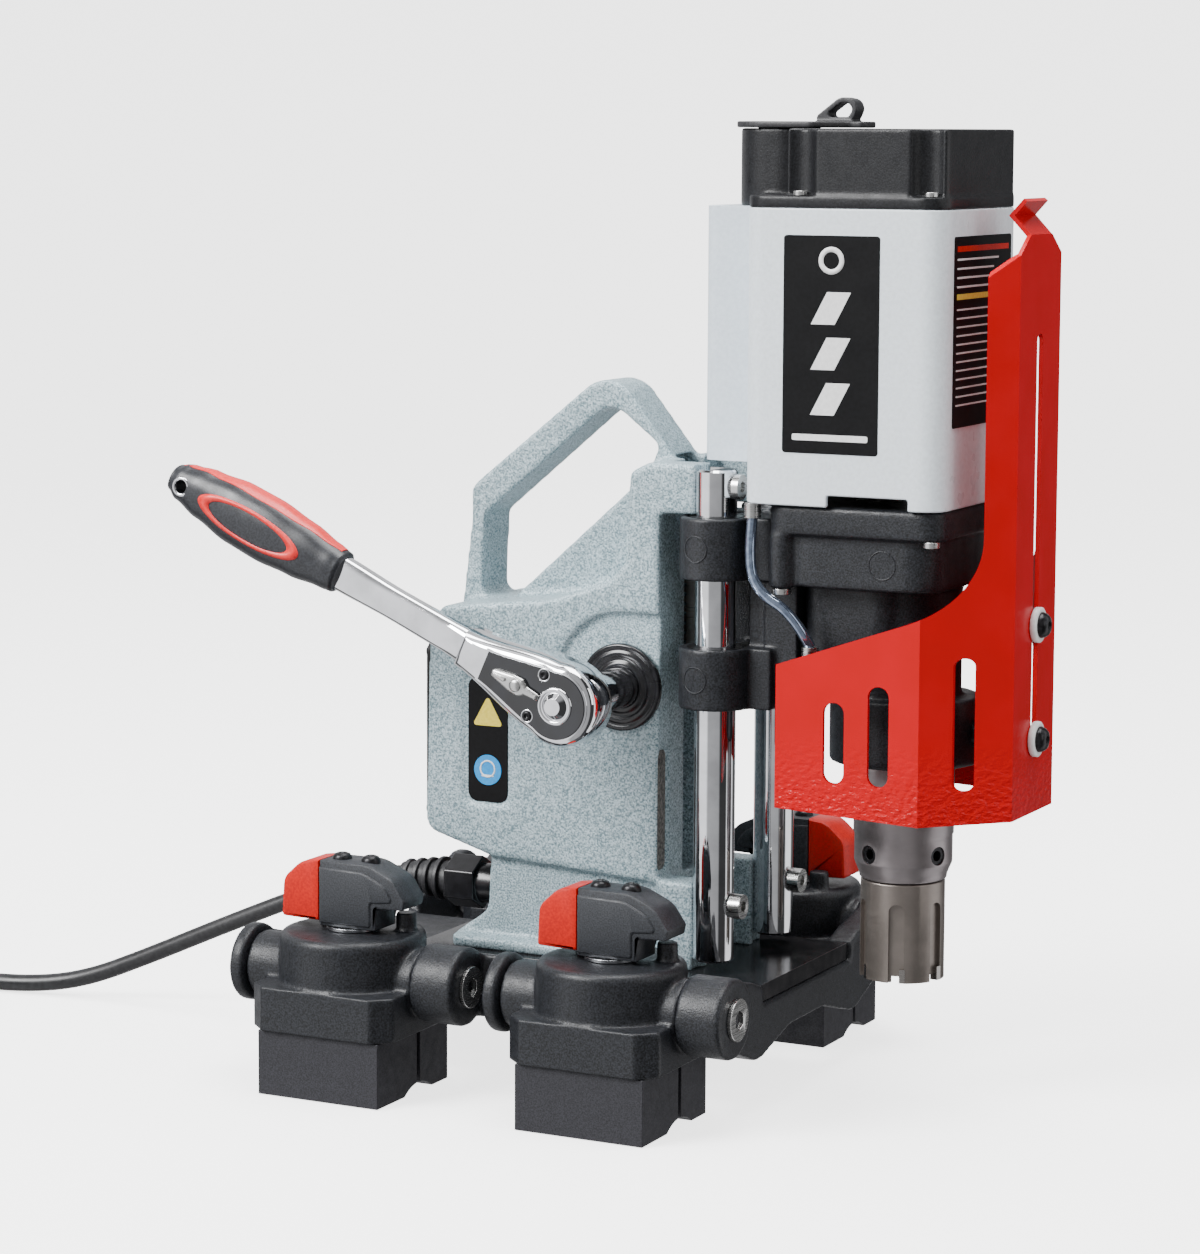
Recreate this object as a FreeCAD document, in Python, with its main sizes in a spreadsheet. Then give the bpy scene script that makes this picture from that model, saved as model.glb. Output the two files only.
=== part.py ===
import FreeCAD, Part
import math
import os
import re
from types import SimpleNamespace

# A drill unit that slides on two columns, over a base with four tilting, switchable magnets.
# +Z is up, +X is the drill side, -Y is the side with the feed ratchet.

doc = FreeCAD.newDocument("MagneticDrillPress")
V = FreeCAD.Vector

SIZES = {
    # magnets
    "magnet_front": 37.9, "magnet_rear": -102.1, "magnet_y": 104.5, "pivot_z": 56,
    "pole_len": 66.3, "pole_wid": 68.5, "pole_top": 31.5, "pole_gap": 3, "pole_split": 4,
    "collar_len": 78, "collar_wid": 73, "collar_top": 53.3, "drum_radius": 35.5, "drum_top": 78,
    "trunnion_front": 40.7, "trunnion_rear": 51, "trunnion_radius": 16,
    "rotor_radius": 22, "rotor_shaft": 6, "lever_half": 34, "lever_wide": 22,
    "lever_low": 80, "lever_top": 112, "lever_hook": 18, "lever_tip": -13, "post_radius": 5,
    # base
    "lug_radius": 19, "lug_front_near": 41, "lug_front_far": 64, "lug_rear_near": 52, "lug_rear_far": 59.5,
    "pin_radius": 6, "spine_half": 50, "spine_low": 35, "plate_low": 51.5, "plate_top": 60,
    "plate_half": 52.5, "plate_front": 91, "plate_rear": -100, "bar_front": 93,
    # body
    "body_half": 41, "body_front": 30, "body_rear": -98, "neck_half": 37, "foot_half": 46,
    "pad_front": 50, "channel_half": 25, "pad_low_top": 103, "pad_high_low": 281, "body_top": 305,
    "handle_half": 14, "cover_thick": 2, "wall": 8,
    # columns and feed
    "column_x": 57.7, "column_y": 35.15, "column_radius": 10, "column_low": 65.8, "column_top": 303,
    "feed_x": 11, "feed_z": 196, "feed_module": 1.5, "feed_teeth": 22, "journal": 9, "bush_radius": 21.25,
    "running": 0.05, "gap": 0.3, "backlash": 0.16,
    # drill unit
    "spindle_x": 141.4, "housing_rear": 76, "housing_front": 177, "housing_half": 50,
    "housing_low": 289, "housing_top": 427.4, "housing_wall": 3, "cap_top": 464,
    "motor_x": 126.5, "flange_rear": 87, "nose_radius": 26.5, "ring_radius": 36,
    "collar_radius": 17.5, "bush_outer": 13, "lower_collar": 189, "upper_collar": 251,
    "arbor_radius": 24, "arbor_low": 108.4, "arbor_top": 163, "shank_radius": 9.5,
    "cutter_radius": 20.2, "cutter_low": 60.3, "cutter_bore": 16.2, "pilot_radius": 3.2,
    # guard
    "guard_half": 57, "guard_rear": 99, "guard_bend": 171, "guard_front": 206, "guard_panel": 27,
    "guard_sheet": 2, "guard_low": 143,
    # ratchet
    "ratchet_angle": 24.1, "ratchet_outer": 111, "ratchet_inner": 89, "ratchet_head": 20,
    "shank_end": 133, "grip_end": 237, "grip_radius": 16,
    # cord
    "cord_radius": 4.5, "gland_z": 83, "relief_start": -104, "relief_end": -134,
    "coil_radius": 52, "coil_half": 22.5, "coil_top": 18.2, "plug_top": 24.2,
}

sheet = doc.addObject("Spreadsheet::Sheet", "Sizes")
for line, (alias, number) in enumerate(SIZES.items(), 1):
    sheet.set(f"A{line}", alias)
    sheet.set(f"B{line}", str(number))
    sheet.setAlias(f"B{line}", alias)
doc.recompute()
d = SimpleNamespace(**{alias: float(sheet.get(alias)) for alias in SIZES})

TURN = {
    "x": FreeCAD.Rotation(V(0, 1, 0), 90),
    "y": FreeCAD.Rotation(V(1, 0, 0), -90),
    "z": FreeCAD.Rotation(),
}
NODES = []


def linked(text):
    """An expression in which each alias points at its cell."""
    return re.sub(r"[a-z]\w*", lambda word: "Sizes." + word.group() if word.group() in SIZES else word.group(),
                  str(text))


def bind(thing, name, text):
    thing.setExpression(name, linked(text))


def place(thing, at):
    for letter, text in zip("xyz", at):
        bind(thing, "Placement.Base." + letter, text)


def block(name, size, at):
    """A box with its low corner at the given place."""
    solid = doc.addObject("Part::Box", name)
    for side, text in zip(("Length", "Width", "Height"), size):
        bind(solid, side, text)
    place(solid, at)
    return solid


def rod(name, radius, length, at, axis="z"):
    """A cylinder that starts at the given place and runs along the axis."""
    solid = doc.addObject("Part::Cylinder", name)
    solid.Placement = FreeCAD.Placement(V(), TURN[axis])
    bind(solid, "Radius", radius)
    bind(solid, "Height", length)
    place(solid, at)
    return solid


def cone(name, first, second, length, at, axis="z"):
    solid = doc.addObject("Part::Cone", name)
    solid.Placement = FreeCAD.Placement(V(), TURN[axis])
    bind(solid, "Radius1", first)
    bind(solid, "Radius2", second)
    bind(solid, "Height", length)
    place(solid, at)
    return solid


def hexagon(name, across, length, at, axis="z"):
    """A six-sided prism, measured across its flats."""
    solid = doc.addObject("Part::Prism", name)
    solid.Polygon = 6
    solid.Placement = FreeCAD.Placement(V(), TURN[axis])
    solid.Circumradius = across / math.sqrt(3)
    bind(solid, "Height", length)
    place(solid, at)
    return solid


def outline(points):
    """Edges of a closed outline. A third number is a corner's radius, and a lone point is a circle."""
    if len(points) == 1:
        x, y, radius = points[0]
        return [Part.Circle(V(x, y, 0), V(0, 0, 1), radius)]
    ends = []
    arcs = []
    for index, point in enumerate(points):
        corner = V(point[0], point[1], 0)
        if len(point) == 2:
            ends.append((corner, corner))
            continue
        before = (V(*points[index - 1][:2], 0) - corner).normalize()
        after = (V(*points[(index + 1) % len(points)][:2], 0) - corner).normalize()
        half = math.acos(max(-1, min(1, before.dot(after)))) / 2
        reach = point[2] / math.tan(half)
        middle = corner + (before + after).normalize() * (point[2] / math.sin(half) - point[2])
        ends.append((corner + before * reach, corner + after * reach))
        arcs.append(Part.Arc(ends[-1][0], middle, ends[-1][1]))
    edges = list(arcs)
    for index, (_, leave) in enumerate(ends):
        arrive = ends[(index + 1) % len(ends)][0]
        if leave.distanceToPoint(arrive) > 1e-6:
            edges.append(Part.LineSegment(leave, arrive))
    return edges


def sketched(name, side, loops, start):
    """A body with one sketch on an origin plane. XZ faces -Y, YZ faces +X."""
    body = doc.addObject("PartDesign::Body", name)
    sketch = body.newObject("Sketcher::SketchObject", name + "Outline")
    plane = next(item for item in body.Origin.OriginFeatures if item.Role == side + "_Plane")
    sketch.AttachmentSupport = [(plane, "")]
    sketch.MapMode = "FlatFace"
    bind(sketch, "AttachmentOffset.Base.z", start)
    for loop in loops:
        for edge in outline(loop):
            sketch.addGeometry(edge, False)
    return body, sketch


def prism(name, side, loops, start, length):
    body, sketch = sketched(name, side, loops, start)
    pad = body.newObject("PartDesign::Pad", name + "Pad")
    pad.Profile = sketch
    bind(pad, "Length", length)
    body.Tip = pad
    return body


def spun(name, points, x, y, axis="V_Axis"):
    """An outline of (radius, height) points, turned about the vertical axis through (x, y)."""
    body, sketch = sketched(name, "XZ", [points], 0)
    turned = body.newObject("PartDesign::Revolution", name + "Turned")
    turned.Profile = sketch
    turned.ReferenceAxis = (sketch, [axis])
    turned.Angle = 360
    body.Tip = turned
    place(body, (x, y, 0))
    return body


def join(name, *solids):
    whole = doc.addObject("Part::MultiFuse", name)
    whole.Shapes = list(solids)
    return whole


def group(name, *solids):
    whole = doc.addObject("Part::Compound", name)
    whole.Links = list(solids)
    return whole


def cut(name, base, *tools):
    whole = doc.addObject("Part::Cut", name)
    whole.Base = base
    whole.Tool = tools[0] if len(tools) == 1 else join(name + "Tools", *tools)
    return whole


def common(name, *solids):
    whole = doc.addObject("Part::MultiCommon", name)
    whole.Shapes = list(solids)
    return whole


def node(label, thing):
    thing.Label = label
    NODES.append(thing)
    return thing


def cap_screw(name, head, head_len, shank, shank_len, at, across):
    """A socket screw along +X: its shank starts at the given place and its head faces +X."""
    x, y, z = at
    body = join(name, rod(name + "Shank", shank, shank_len, (x, y, z), "x"),
                rod(name + "Head", head, head_len, (f"{x} + {shank_len}", y, z), "x"))
    socket = hexagon(name + "Socket", across, head_len, (f"{x} + {shank_len} + {head_len} * 0.4", y, z), "x")
    return cut(name + "Cut", body, socket)


def down_screw(name, head, head_len, at, across):
    """A socket screw head under a face: it hangs down from the given place."""
    x, y, z = at
    body = rod(name, head, head_len, (x, y, f"{z} - {head_len}"))
    socket = hexagon(name + "Socket", across, head_len, (x, y, f"{z} - {head_len} * 1.5"))
    return cut(name + "Cut", body, socket)


# ---------------------------------------------------------------- gears

PRESSURE = math.radians(20)
ADDENDUM = 0.85
DEDENDUM = 1.15
FLANK_STEPS = 5


def involute(angle):
    return math.tan(angle) - angle


def gear_points(module, teeth, phase, centre=(0, 0)):
    """The outline of a spur gear with a tooth centred on the phase, an angle in degrees."""
    pitch = module * teeth / 2
    base = pitch * math.cos(PRESSURE)
    root = pitch - DEDENDUM * module
    tip = pitch + ADDENDUM * module
    low = max(base, root)
    half_pitch = math.pi / (2 * teeth) - d.backlash / (2 * pitch)
    points = []
    for tooth in range(teeth):
        middle = math.radians(phase) + 2 * math.pi * tooth / teeth
        flank = []
        for step in range(FLANK_STEPS + 1):
            radius = low + (tip - low) * step / FLANK_STEPS
            flank.append((radius, half_pitch + involute(PRESSURE) - involute(math.acos(base / radius))))
        if root < base:
            flank.insert(0, (root, flank[0][1]))
        ring = [(radius, middle - half) for radius, half in flank]
        ring += [(radius, middle + half) for radius, half in reversed(flank)]
        points += [(centre[0] + radius * math.cos(angle), centre[1] + radius * math.sin(angle))
                   for radius, angle in ring]
    return points


def meshing_phase(teeth, other_teeth, other_phase, bearing):
    """The phase that puts a gap of this gear on the other gear's tooth. The bearing runs from other to this."""
    other_pitch = 360 / other_teeth
    offset = (bearing - other_phase) / other_pitch
    fraction = offset - math.floor(offset)
    return bearing + 180 + (fraction + 0.5) * 360 / teeth


# ---------------------------------------------------------------- base

MAGNETS = [
    ("front_near", "magnet_front", "-magnet_y", 1), ("front_far", "magnet_front", "magnet_y", -1),
    ("rear_near", "magnet_rear", "-magnet_y", 1), ("rear_far", "magnet_rear", "magnet_y", -1),
]


def bar_outline(under, shoulder):
    """The front view of a cross bar: an arch under its middle, and arms that rise to the two lugs."""
    half = [(d.spine_half + 8, under, 14), (d.magnet_y - 6, d.pivot_z - 16), (d.magnet_y - 6, d.pivot_z + 16),
            (d.spine_half + 14, shoulder, 10), (d.plate_half + 0.5, shoulder - 4), (d.plate_half + 0.5, d.plate_low)]
    other = [(-point[0],) + point[1:] for point in reversed(half)]
    return [(20, d.spine_low, 30)] + half + other + [(-20, d.spine_low, 30)]


def base_casting():
    spine = block("Spine", ("bar_front - magnet_rear + lug_rear_far", "spine_half * 2", "plate_low - spine_low"),
                  ("magnet_rear - lug_rear_far", "-spine_half", "spine_low"))
    bars = [
        prism("FrontBar", "YZ", [bar_outline(24.5, 64)], "magnet_front + lug_front_near + gap",
              "bar_front - magnet_front - lug_front_near - gap"),
        prism("MiddleBar", "YZ", [bar_outline(33, 62)], "magnet_rear + lug_front_near + gap",
              "magnet_front - lug_rear_near - magnet_rear - lug_front_near - gap * 2"),
        prism("RearBar", "YZ", [bar_outline(33, 62)], "magnet_rear - lug_rear_far",
              "lug_rear_far - lug_rear_near"),
    ]
    lugs = []
    holes = []
    for _, x, y, _ in MAGNETS:
        lugs.append(rod("FrontLug", "lug_radius", "lug_front_far - lug_front_near - gap",
                        (f"{x} + lug_front_near + gap", y, "pivot_z"), "x"))
        lugs.append(rod("RearLug", "lug_radius", "lug_rear_far - lug_rear_near",
                        (f"{x} - lug_rear_far", y, "pivot_z"), "x"))
        holes.append(rod("PinHole", "pin_radius", "lug_front_far + lug_rear_far + 2",
                         (f"{x} - lug_rear_far - 1", y, "pivot_z"), "x"))
    between = "magnet_front - lug_rear_far - magnet_rear - lug_front_far"
    gap = block("WebGap", (between, "magnet_y * 2 + 60", "60"), ("magnet_rear + lug_front_far", "-magnet_y - 30", "30"))
    keep = block("WebKeep", (between, "magnet_y * 2 - 26", "60"), ("magnet_rear + lug_front_far", "-magnet_y + 13", "30"))
    solid = cut("BaseGapped", join("BaseRaw", spine, *bars, *lugs), cut("WebSlot", gap, keep), *holes)
    return node("base_casting", solid)


def base_plate():
    corner = 6
    points = [(d.plate_rear, -d.plate_half, corner), (d.plate_front, -d.plate_half),
              (d.plate_front, d.plate_half), (d.plate_rear, d.plate_half, corner)]
    return node("base_plate", prism("Plate", "XY", [points], "plate_low", "plate_top - plate_low"))


def pivot_screws():
    solids = []
    for _, x, y, _ in MAGNETS:
        solids.append(cap_screw("PivotScrew", "10", 2, "pin_radius", 37,
                                (f"{x} + lug_front_far - 37", y, "pivot_z"), 8))
        solids.append(rod("PivotPin", "pin_radius", "lug_rear_far - 40", (f"{x} - lug_rear_far", y, "pivot_z"), "x"))
    return node("pivot_screws", group("PivotScrews", *solids))


def body_casting():
    side = [(d.body_rear, 117, 8), (d.body_rear + 2, 213, 10), (-89.6, 229, 6), (-27, 236), (4, 247, 14),
            (12.5, 257, 8), (14, 300, 5), (24, d.body_top), (d.body_front, d.body_top), (d.body_front, 101),
            (-61, 106, 10)]
    trunk = prism("Trunk", "XZ", [side], "-body_half", "body_half * 2")
    neck = prism("Neck", "XZ", [[(-63, 112), (-65, 78, 8), (-82, 66, 4), (-82, 60), (d.body_front, 60),
                                 (d.body_front, 112)]], "-neck_half", "neck_half * 2")
    foot = prism("Foot", "XY", [[(-82, -d.foot_half, 6), (d.body_front, -d.foot_half), (d.body_front, d.foot_half),
                                 (-82, d.foot_half, 6)]], "plate_top", "6")
    handle = prism("Handle", "XZ", [
        [(-92.5, 222), (-86.5, 272, 30), (-87, 286, 9), (-9.6, 348.5, 17), (25, 305.5, 3), (25, 296), (0, 240), (-40, 225)],
        [(-62, 232.6, 3), (-81, 231.8, 5), (-79.5, 272.5, 6), (-9.5, 331.5, 12), (17, 311, 4), (13, 302, 3), (1.5, 289, 6)],
    ], "-handle_half", "handle_half * 2")
    pads = []
    for low in ("-body_half", "channel_half"):
        pads.append(block("LowPad", ("pad_front - body_front", "body_half - channel_half", "pad_low_top - plate_top"),
                          ("body_front", low, "plate_top")))
        pads.append(block("HighPad", ("pad_front - body_front", "body_half - channel_half",
                                      "body_top - pad_high_low"), ("body_front", low, "pad_high_low")))
    whole = join("BodyRaw", trunk, neck, foot, handle, *pads)
    cavity = block("Cavity", ("52", "body_half * 2 - wall * 2", "82"), ("body_rear - 1", "-body_half + wall", "124"))
    rack_slot = block("RackSlot", ("14", "21", "204"), ("body_front - 13", "-10.5", "102"))
    pinion_room = rod("PinionRoom", "18.6", "21", ("feed_x", "-10.5", "feed_z"), "y")
    shaft_bore = rod("ShaftBore", "14", "body_half * 2 + 4", ("feed_x", "-body_half - 2", "feed_z"), "y")
    columns = [rod("ColumnRoom", "column_radius", "column_top", ("column_x", f"{sign}column_y", "plate_top"))
               for sign in ("-", "")]
    drills = [rod("PadHole", "3.5", "30", ("pad_front - 13", f"{sign}column_y", height), "x")
              for sign in ("-", "") for height in ("93", "295")]
    cable_way = rod("CableWay", "7", "24", ("-66", "0", "gland_z"), "x")
    seat = rod("GlandSeat", "10", "8", ("-71", "0", "gland_z"), "x")
    riser = rod("CableRiser", "7", "50", ("-48", "0", "gland_z"))
    return node("body_casting", cut("BodyCut", whole, cavity, rack_slot, pinion_room, shaft_bore, cable_way,
                                    seat, riser, *columns, *drills))


def rear_cover():
    half = d.body_half - 5
    plate = prism("CoverPlate", "YZ", [[(-half, 120, 6), (half, 120, 6), (half, 210, 6), (-half, 210, 6)]],
                  "body_rear - cover_thick", "cover_thick")
    holes = [rod("ButtonHole", "9.3", "20", ("body_rear - 10", y, "182"), "x") for y in ("-16", "16")]
    return node("rear_cover", cut("CoverCut", plate, *holes))


def control_module():
    board = block("Board", ("2", "56", "62"), ("-58", "-28", "128"))
    case = block("ModuleCase", ("16", "48", "34"), ("-74", "-24", "130"))
    relay = block("Relay", ("14", "20", "16"), ("-72", "-18", "168"))
    rail = block("Rail", ("9.5", "40", "6"), ("-57", "-20", "136"))
    return node("control_module", join("Module", board, case, relay, rail))


def buttons():
    for label, y, cap in (("start_button", "-16", 9), ("stop_button", "16", 9)):
        head = rod("ButtonCap", cap, "9", ("body_rear - cover_thick - 6", y, "182"), "x")
        rim = rod("ButtonStem", "5", "9", ("body_rear", y, "182"), "x")
        node(label, join(label.title().replace("_", ""), head, rim))


def columns():
    for label, sign in (("column_near", "-"), ("column_far", "")):
        shaft = rod("Column", "column_radius", "column_top - column_low", ("column_x", f"{sign}column_y", "column_low"))
        doc.recompute()
        chamfered = doc.addObject("Part::Chamfer", "ColumnChamfer")
        chamfered.Base = shaft
        chamfered.Edges = [(number, 1, 1) for number, edge in enumerate(shaft.Shape.Edges, 1)
                           if edge.BoundBox.ZLength < 1e-3]
        holes = [rod("CrossHole", "3.5", "column_radius * 2 + 4", ("column_x - column_radius - 2",
                                                                    f"{sign}column_y", height), "x")
                 for height in ("93", "295")]
        node(label, cut("ColumnCut", chamfered, *holes))


def column_screws():
    solids = []
    for sign in ("-", ""):
        for height, head in (("93", 6), ("295", 3.5)):
            solids.append(cap_screw("ColumnScrew", "6", head, "3.5", 29,
                                    ("column_x + column_radius - 29", f"{sign}column_y", height), 5))
    return node("column_screws", group("ColumnScrews", *solids))


def gland():
    body = join("GlandBody", rod("GlandThread", "10", "24", ("-87", "0", "gland_z"), "x"),
                hexagon("GlandNut", 24, "17", ("relief_start", "0", "gland_z"), "x"),
                rod("GlandTail", "7", "20", ("-63", "0", "gland_z"), "x"))
    node("cable_gland", cut("GlandCut", body, rod("GlandBore", "cord_radius", "64", ("relief_start - 1", "0",
                                                                                      "gland_z"), "x")))
    sleeve = cone("Sleeve", "6.3", "9.5", "relief_start - relief_end", ("relief_end", "0", "gland_z"), "x")
    ribs = [rod("Rib", 8.2 + index, "2.6", (f"relief_end + {3 + index * 6.4}", "0", "gland_z"), "x")
            for index in range(4)]
    relief = cut("ReliefCut", join("ReliefRaw", sleeve, *ribs),
                 rod("ReliefBore", "cord_radius", "34", ("relief_end - 2", "0", "gland_z"), "x"))
    node("strain_relief", relief)


# ---------------------------------------------------------------- magnets

def magnet(name, x, y, sign):
    """One magnet: a cast housing, two pole shoes, the magnet rotor between them and its lever."""
    cx = SIZES[x]
    cy = SIZES["magnet_y"] * (-1 if y.startswith("-") else 1)

    def spot(dx, dy):
        return cx + dx * sign, cy + dy * sign

    long, wide = d.collar_len / 2, d.collar_wid / 2
    collar = prism("Collar", "XY", [[(cx - long, cy - wide + 8), (cx - long + 9, cy - wide),
                                     (cx + long - 9, cy - wide), (cx + long, cy - wide + 8),
                                     (cx + long, cy + wide - 8), (cx + long - 9, cy + wide),
                                     (cx - long + 9, cy + wide), (cx - long, cy + wide - 8)]],
                   "pole_top", "collar_top - pole_top")
    drum = spun("Drum", [(0, d.collar_top), (d.drum_radius, d.collar_top), (d.drum_radius, d.drum_top, 4),
                         (0, d.drum_top)], x, y)
    trunnions = [
        rod("TrunnionFront", "trunnion_radius", "trunnion_front", (x, y, "pivot_z"), "x"),
        rod("TrunnionRear", "trunnion_radius", "trunnion_rear", (f"{x} - trunnion_rear", y, "pivot_z"), "x"),
    ]
    posts = []
    for dx, dy in ((25, 8), (-22, 16.5)):
        px, py = spot(dx, dy)
        posts.append(rod("Post", "post_radius", "11", (px, py, "drum_top - 2")))
    bores = [
        rod("PinBoreFront", "pin_radius + running", "trunnion_front - 25", (f"{x} + 26", y, "pivot_z"), "x"),
        rod("PinBoreRear", "pin_radius + running", "trunnion_rear - 38", (f"{x} - trunnion_rear - 1", y, "pivot_z"),
            "x"),
        rod("RotorBore", "rotor_shaft + running", "60", (x, y, "pole_top - 1")),
    ]
    housing = cut("HousingCut", join("HousingRaw", collar, drum, *trunnions, *posts), *bores)
    node(f"magnet_housing_{name}", housing)

    poles = []
    for low, high in (("-pole_wid / 2", "pole_split"), ("pole_split + pole_gap", "pole_wid / 2")):
        poles.append(block("Pole", ("pole_len", f"{high} - ({low})", "pole_top"),
                           (f"{x} - pole_len / 2", f"{y} + {low}", "0")))
    room = rod("RotorRoom", "rotor_radius + running", "pole_top", (x, y, "8"))
    groove = rod("PipeGroove", "22", "pole_len + 4", (f"{x} - pole_len / 2 - 2", f"{y} + pole_split + pole_gap / 2",
                                                      "-17.5"), "x")
    node(f"pole_shoes_{name}", cut("PolesCut", group("Poles", *poles), room, groove))

    rotor = join("RotorRaw", rod("RotorDisc", "rotor_radius", "pole_top - 8.6", (x, y, "8.3")),
                 rod("RotorShaft", "rotor_shaft", "lever_top - 12 - 20", (x, y, "20")),
                 rod("RotorWasher", "13", "lever_low - drum_top - gap", (x, y, "drum_top + gap")))
    node(f"rotor_{name}", rotor)

    tip, hook = -d.lever_half, d.lever_half
    side = [(tip, 86, 3), (tip + 4, 82), (d.lever_tip, 82), (d.lever_tip, d.lever_low), (d.lever_hook, d.lever_low),
            (d.lever_hook, 92), (hook, 92), (hook, 95), (hook - 7, 105, 8), (14, d.lever_top, 14),
            (-14, d.lever_top), (-26, 109, 8), (tip, 97)]
    points = [(cx + point[0] * sign, *point[1:]) for point in side]
    bar = prism("LeverBar", "XZ", [points], f"-({y}) - lever_wide / 2", "lever_wide")
    screws = []
    for dx in (-6, 10):
        px, py = spot(dx, 0)
        screws.append(rod("LeverScrew", "4.8", "3", (px, py, "lever_top")))
    shaft_hole = rod("LeverHole", "rotor_shaft", "lever_top - 12 - lever_low + 1", (x, y, "lever_low - 1"))
    node(f"lever_{name}", cut("LeverCut", join("LeverRaw", bar, *screws), shaft_hole))


# ---------------------------------------------------------------- feed

def feed():
    bushes = []
    for flange_low, sleeve_low in (("-body_half - 3", "-body_half"), ("body_half", "body_half - 16")):
        bushes.append(rod("BushFlange", "bush_radius", "3", ("feed_x", flange_low, "feed_z"), "y"))
        bushes.append(rod("BushSleeve", "14", "16", ("feed_x", sleeve_low, "feed_z"), "y"))
    bore = rod("BushBore", "journal + running", "body_half * 2 + 10", ("feed_x", "-body_half - 5", "feed_z"), "y")
    node("feed_bushes", cut("BushesCut", join("BushesRaw", *bushes), bore))

    pinion = prism("Pinion", "XZ", [gear_points(d.feed_module, int(d.feed_teeth), 0, (d.feed_x, d.feed_z))],
                   "-9", "18")
    shaft = join("FeedRaw", pinion, rod("Journal", "journal", "body_half * 2 + 6",
                                        ("feed_x", "-body_half - 3.5", "feed_z"), "y"),
                 rod("Socket", "10", "ratchet_inner - 1 - body_half - 3.3", ("feed_x", "-ratchet_inner + 1", "feed_z"),
                     "y"),
                 rod("DriveStub", "8", "ratchet_outer + 1 - ratchet_inner + 3", ("feed_x", "-ratchet_outer - 1",
                                                                               "feed_z"), "y"),
                 rod("EndCollar", "12", "4", ("feed_x", "body_half + 3.3", "feed_z"), "y"),
                 cone("Button", "4", "6.5", "2.5", ("feed_x", "-ratchet_outer - 3.5", "feed_z"), "y"))
    node("feed_shaft", shaft)


def set_ratchet(solid):
    """Carries a piece made round the origin, with the handle along -X, to its place on the feed axis."""
    solid.Placement = FreeCAD.Placement(V(), FreeCAD.Rotation(V(0, 1, 0), d.ratchet_angle))
    place(solid, ("feed_x", "0", "feed_z"))
    return solid


def ratchet():
    head = d.ratchet_head
    plate = prism("HeadPlate", "XZ", [[(0, 0, head)]], "ratchet_inner", "ratchet_outer - ratchet_inner")
    tail = prism("HeadTail", "XZ", [[(4, head - 0.4), (-30, 14, 16), (-62, 8.5), (-62, -8.5), (-30, -14, 16),
                                     (4, -head + 0.4)]], "ratchet_inner", "ratchet_outer - ratchet_inner")
    shank = prism("Shank", "XZ", [[(-50, 8.5), (-d.shank_end - 20, 9.5), (-d.shank_end - 20, -9.5), (-50, -8.5)]],
                  "ratchet_inner + 7", "8")
    bore = rod("HeadBore", "8 + running", "60", ("0", "-ratchet_outer - 20", "0"), "y")
    frame = cut("FrameCut", join("FrameRaw", plate, tail, shank), bore)
    profile = [(-d.grip_end, 0), (-d.grip_end, 6), (-d.grip_end + 4, 9.5, 4), (-d.grip_end + 50, d.grip_radius, 70),
               (-d.shank_end - 12, 12.5, 20), (-d.shank_end, 10.5, 2), (-d.shank_end, 0)]
    turned = spun("GripTurned", profile, "0", "-(ratchet_outer + ratchet_inner) / 2", "H_Axis")
    flats = block("GripFlats", ("grip_end", "24", "60"), ("-grip_end - 2", "-(ratchet_outer + ratchet_inner) / 2 - 12",
                                                          "-30"))
    hang = rod("HangHole", "4", "60", (-d.grip_end + 9, "-ratchet_outer - 20", "0"), "y")
    slot = prism("ShankSlot", "XZ", [[(-50, 8.5), (-d.shank_end - 20, 9.5), (-d.shank_end - 20, -9.5), (-50, -8.5)]],
                 "ratchet_inner + 7", "8")
    grip_cut = cut("GripCut", common("GripRaw", turned, flats), hang, slot)
    lever_bar = prism("ReverseBar", "XZ", [[(-20, 3.5, 2), (-4, 2, 1), (-4, -2, 1), (-20, -3.5, 2)]],
                      "ratchet_outer + gap", "3")
    pivot = rod("ReversePivot", "4", "3", (-22, "-ratchet_outer - 3 - gap", "0"), "y")
    reverse = cut("ReverseCut", join("ReverseRaw", lever_bar, pivot),
                  rod("ButtonRoom", "8.6", "12", ("0", "-ratchet_outer - 8", "0"), "y"))
    for label, solid in (("ratchet_frame", frame), ("ratchet_grip", grip_cut), ("reverse_lever", reverse)):
        node(label, set_ratchet(solid))


# ---------------------------------------------------------------- drill unit

def slide_casting():
    solids = []
    for low, tall in (("lower_collar", "29"), ("upper_collar", "29.7")):
        for sign in ("-", ""):
            solids.append(rod("Collar", "collar_radius", tall, ("column_x", f"{sign}column_y", low)))
        solids.append(block("Bridge", ("25", "column_y * 2", tall), ("column_x + 4", "-column_y", low)))
    back = block("Back", ("12", "60", "90"), ("column_x + 15.3", "-30", "lower_collar"))
    rib = block("RackRib", ("30", "16", "91.7"), ("38", "-8", "lower_collar"))
    arm = block("Arm", ("16.3", "62", "50"), ("column_x + 24", "-31", "lower_collar + 11"))
    whole = join("SlideRaw", *solids, back, rib, arm)
    bores = [rod("BushBore", "bush_outer", "110", ("column_x", f"{sign}column_y", "lower_collar - 5"))
             for sign in ("-", "")]
    node("slide_casting", cut("SlideCut", whole, *bores))
    sleeves = []
    for low, tall in (("lower_collar", "29"), ("upper_collar", "29.7")):
        for sign in ("-", ""):
            ring = rod("BushRing", "bush_outer", tall, ("column_x", f"{sign}column_y", low))
            hole = rod("BushHole", "column_radius + running", "40", ("column_x", f"{sign}column_y", f"{low} - 4"))
            sleeves.append(cut("Sleeve", ring, hole))
    node("slide_bushes", group("SlideBushes", *sleeves))


RACK_GAPS = 23


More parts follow.
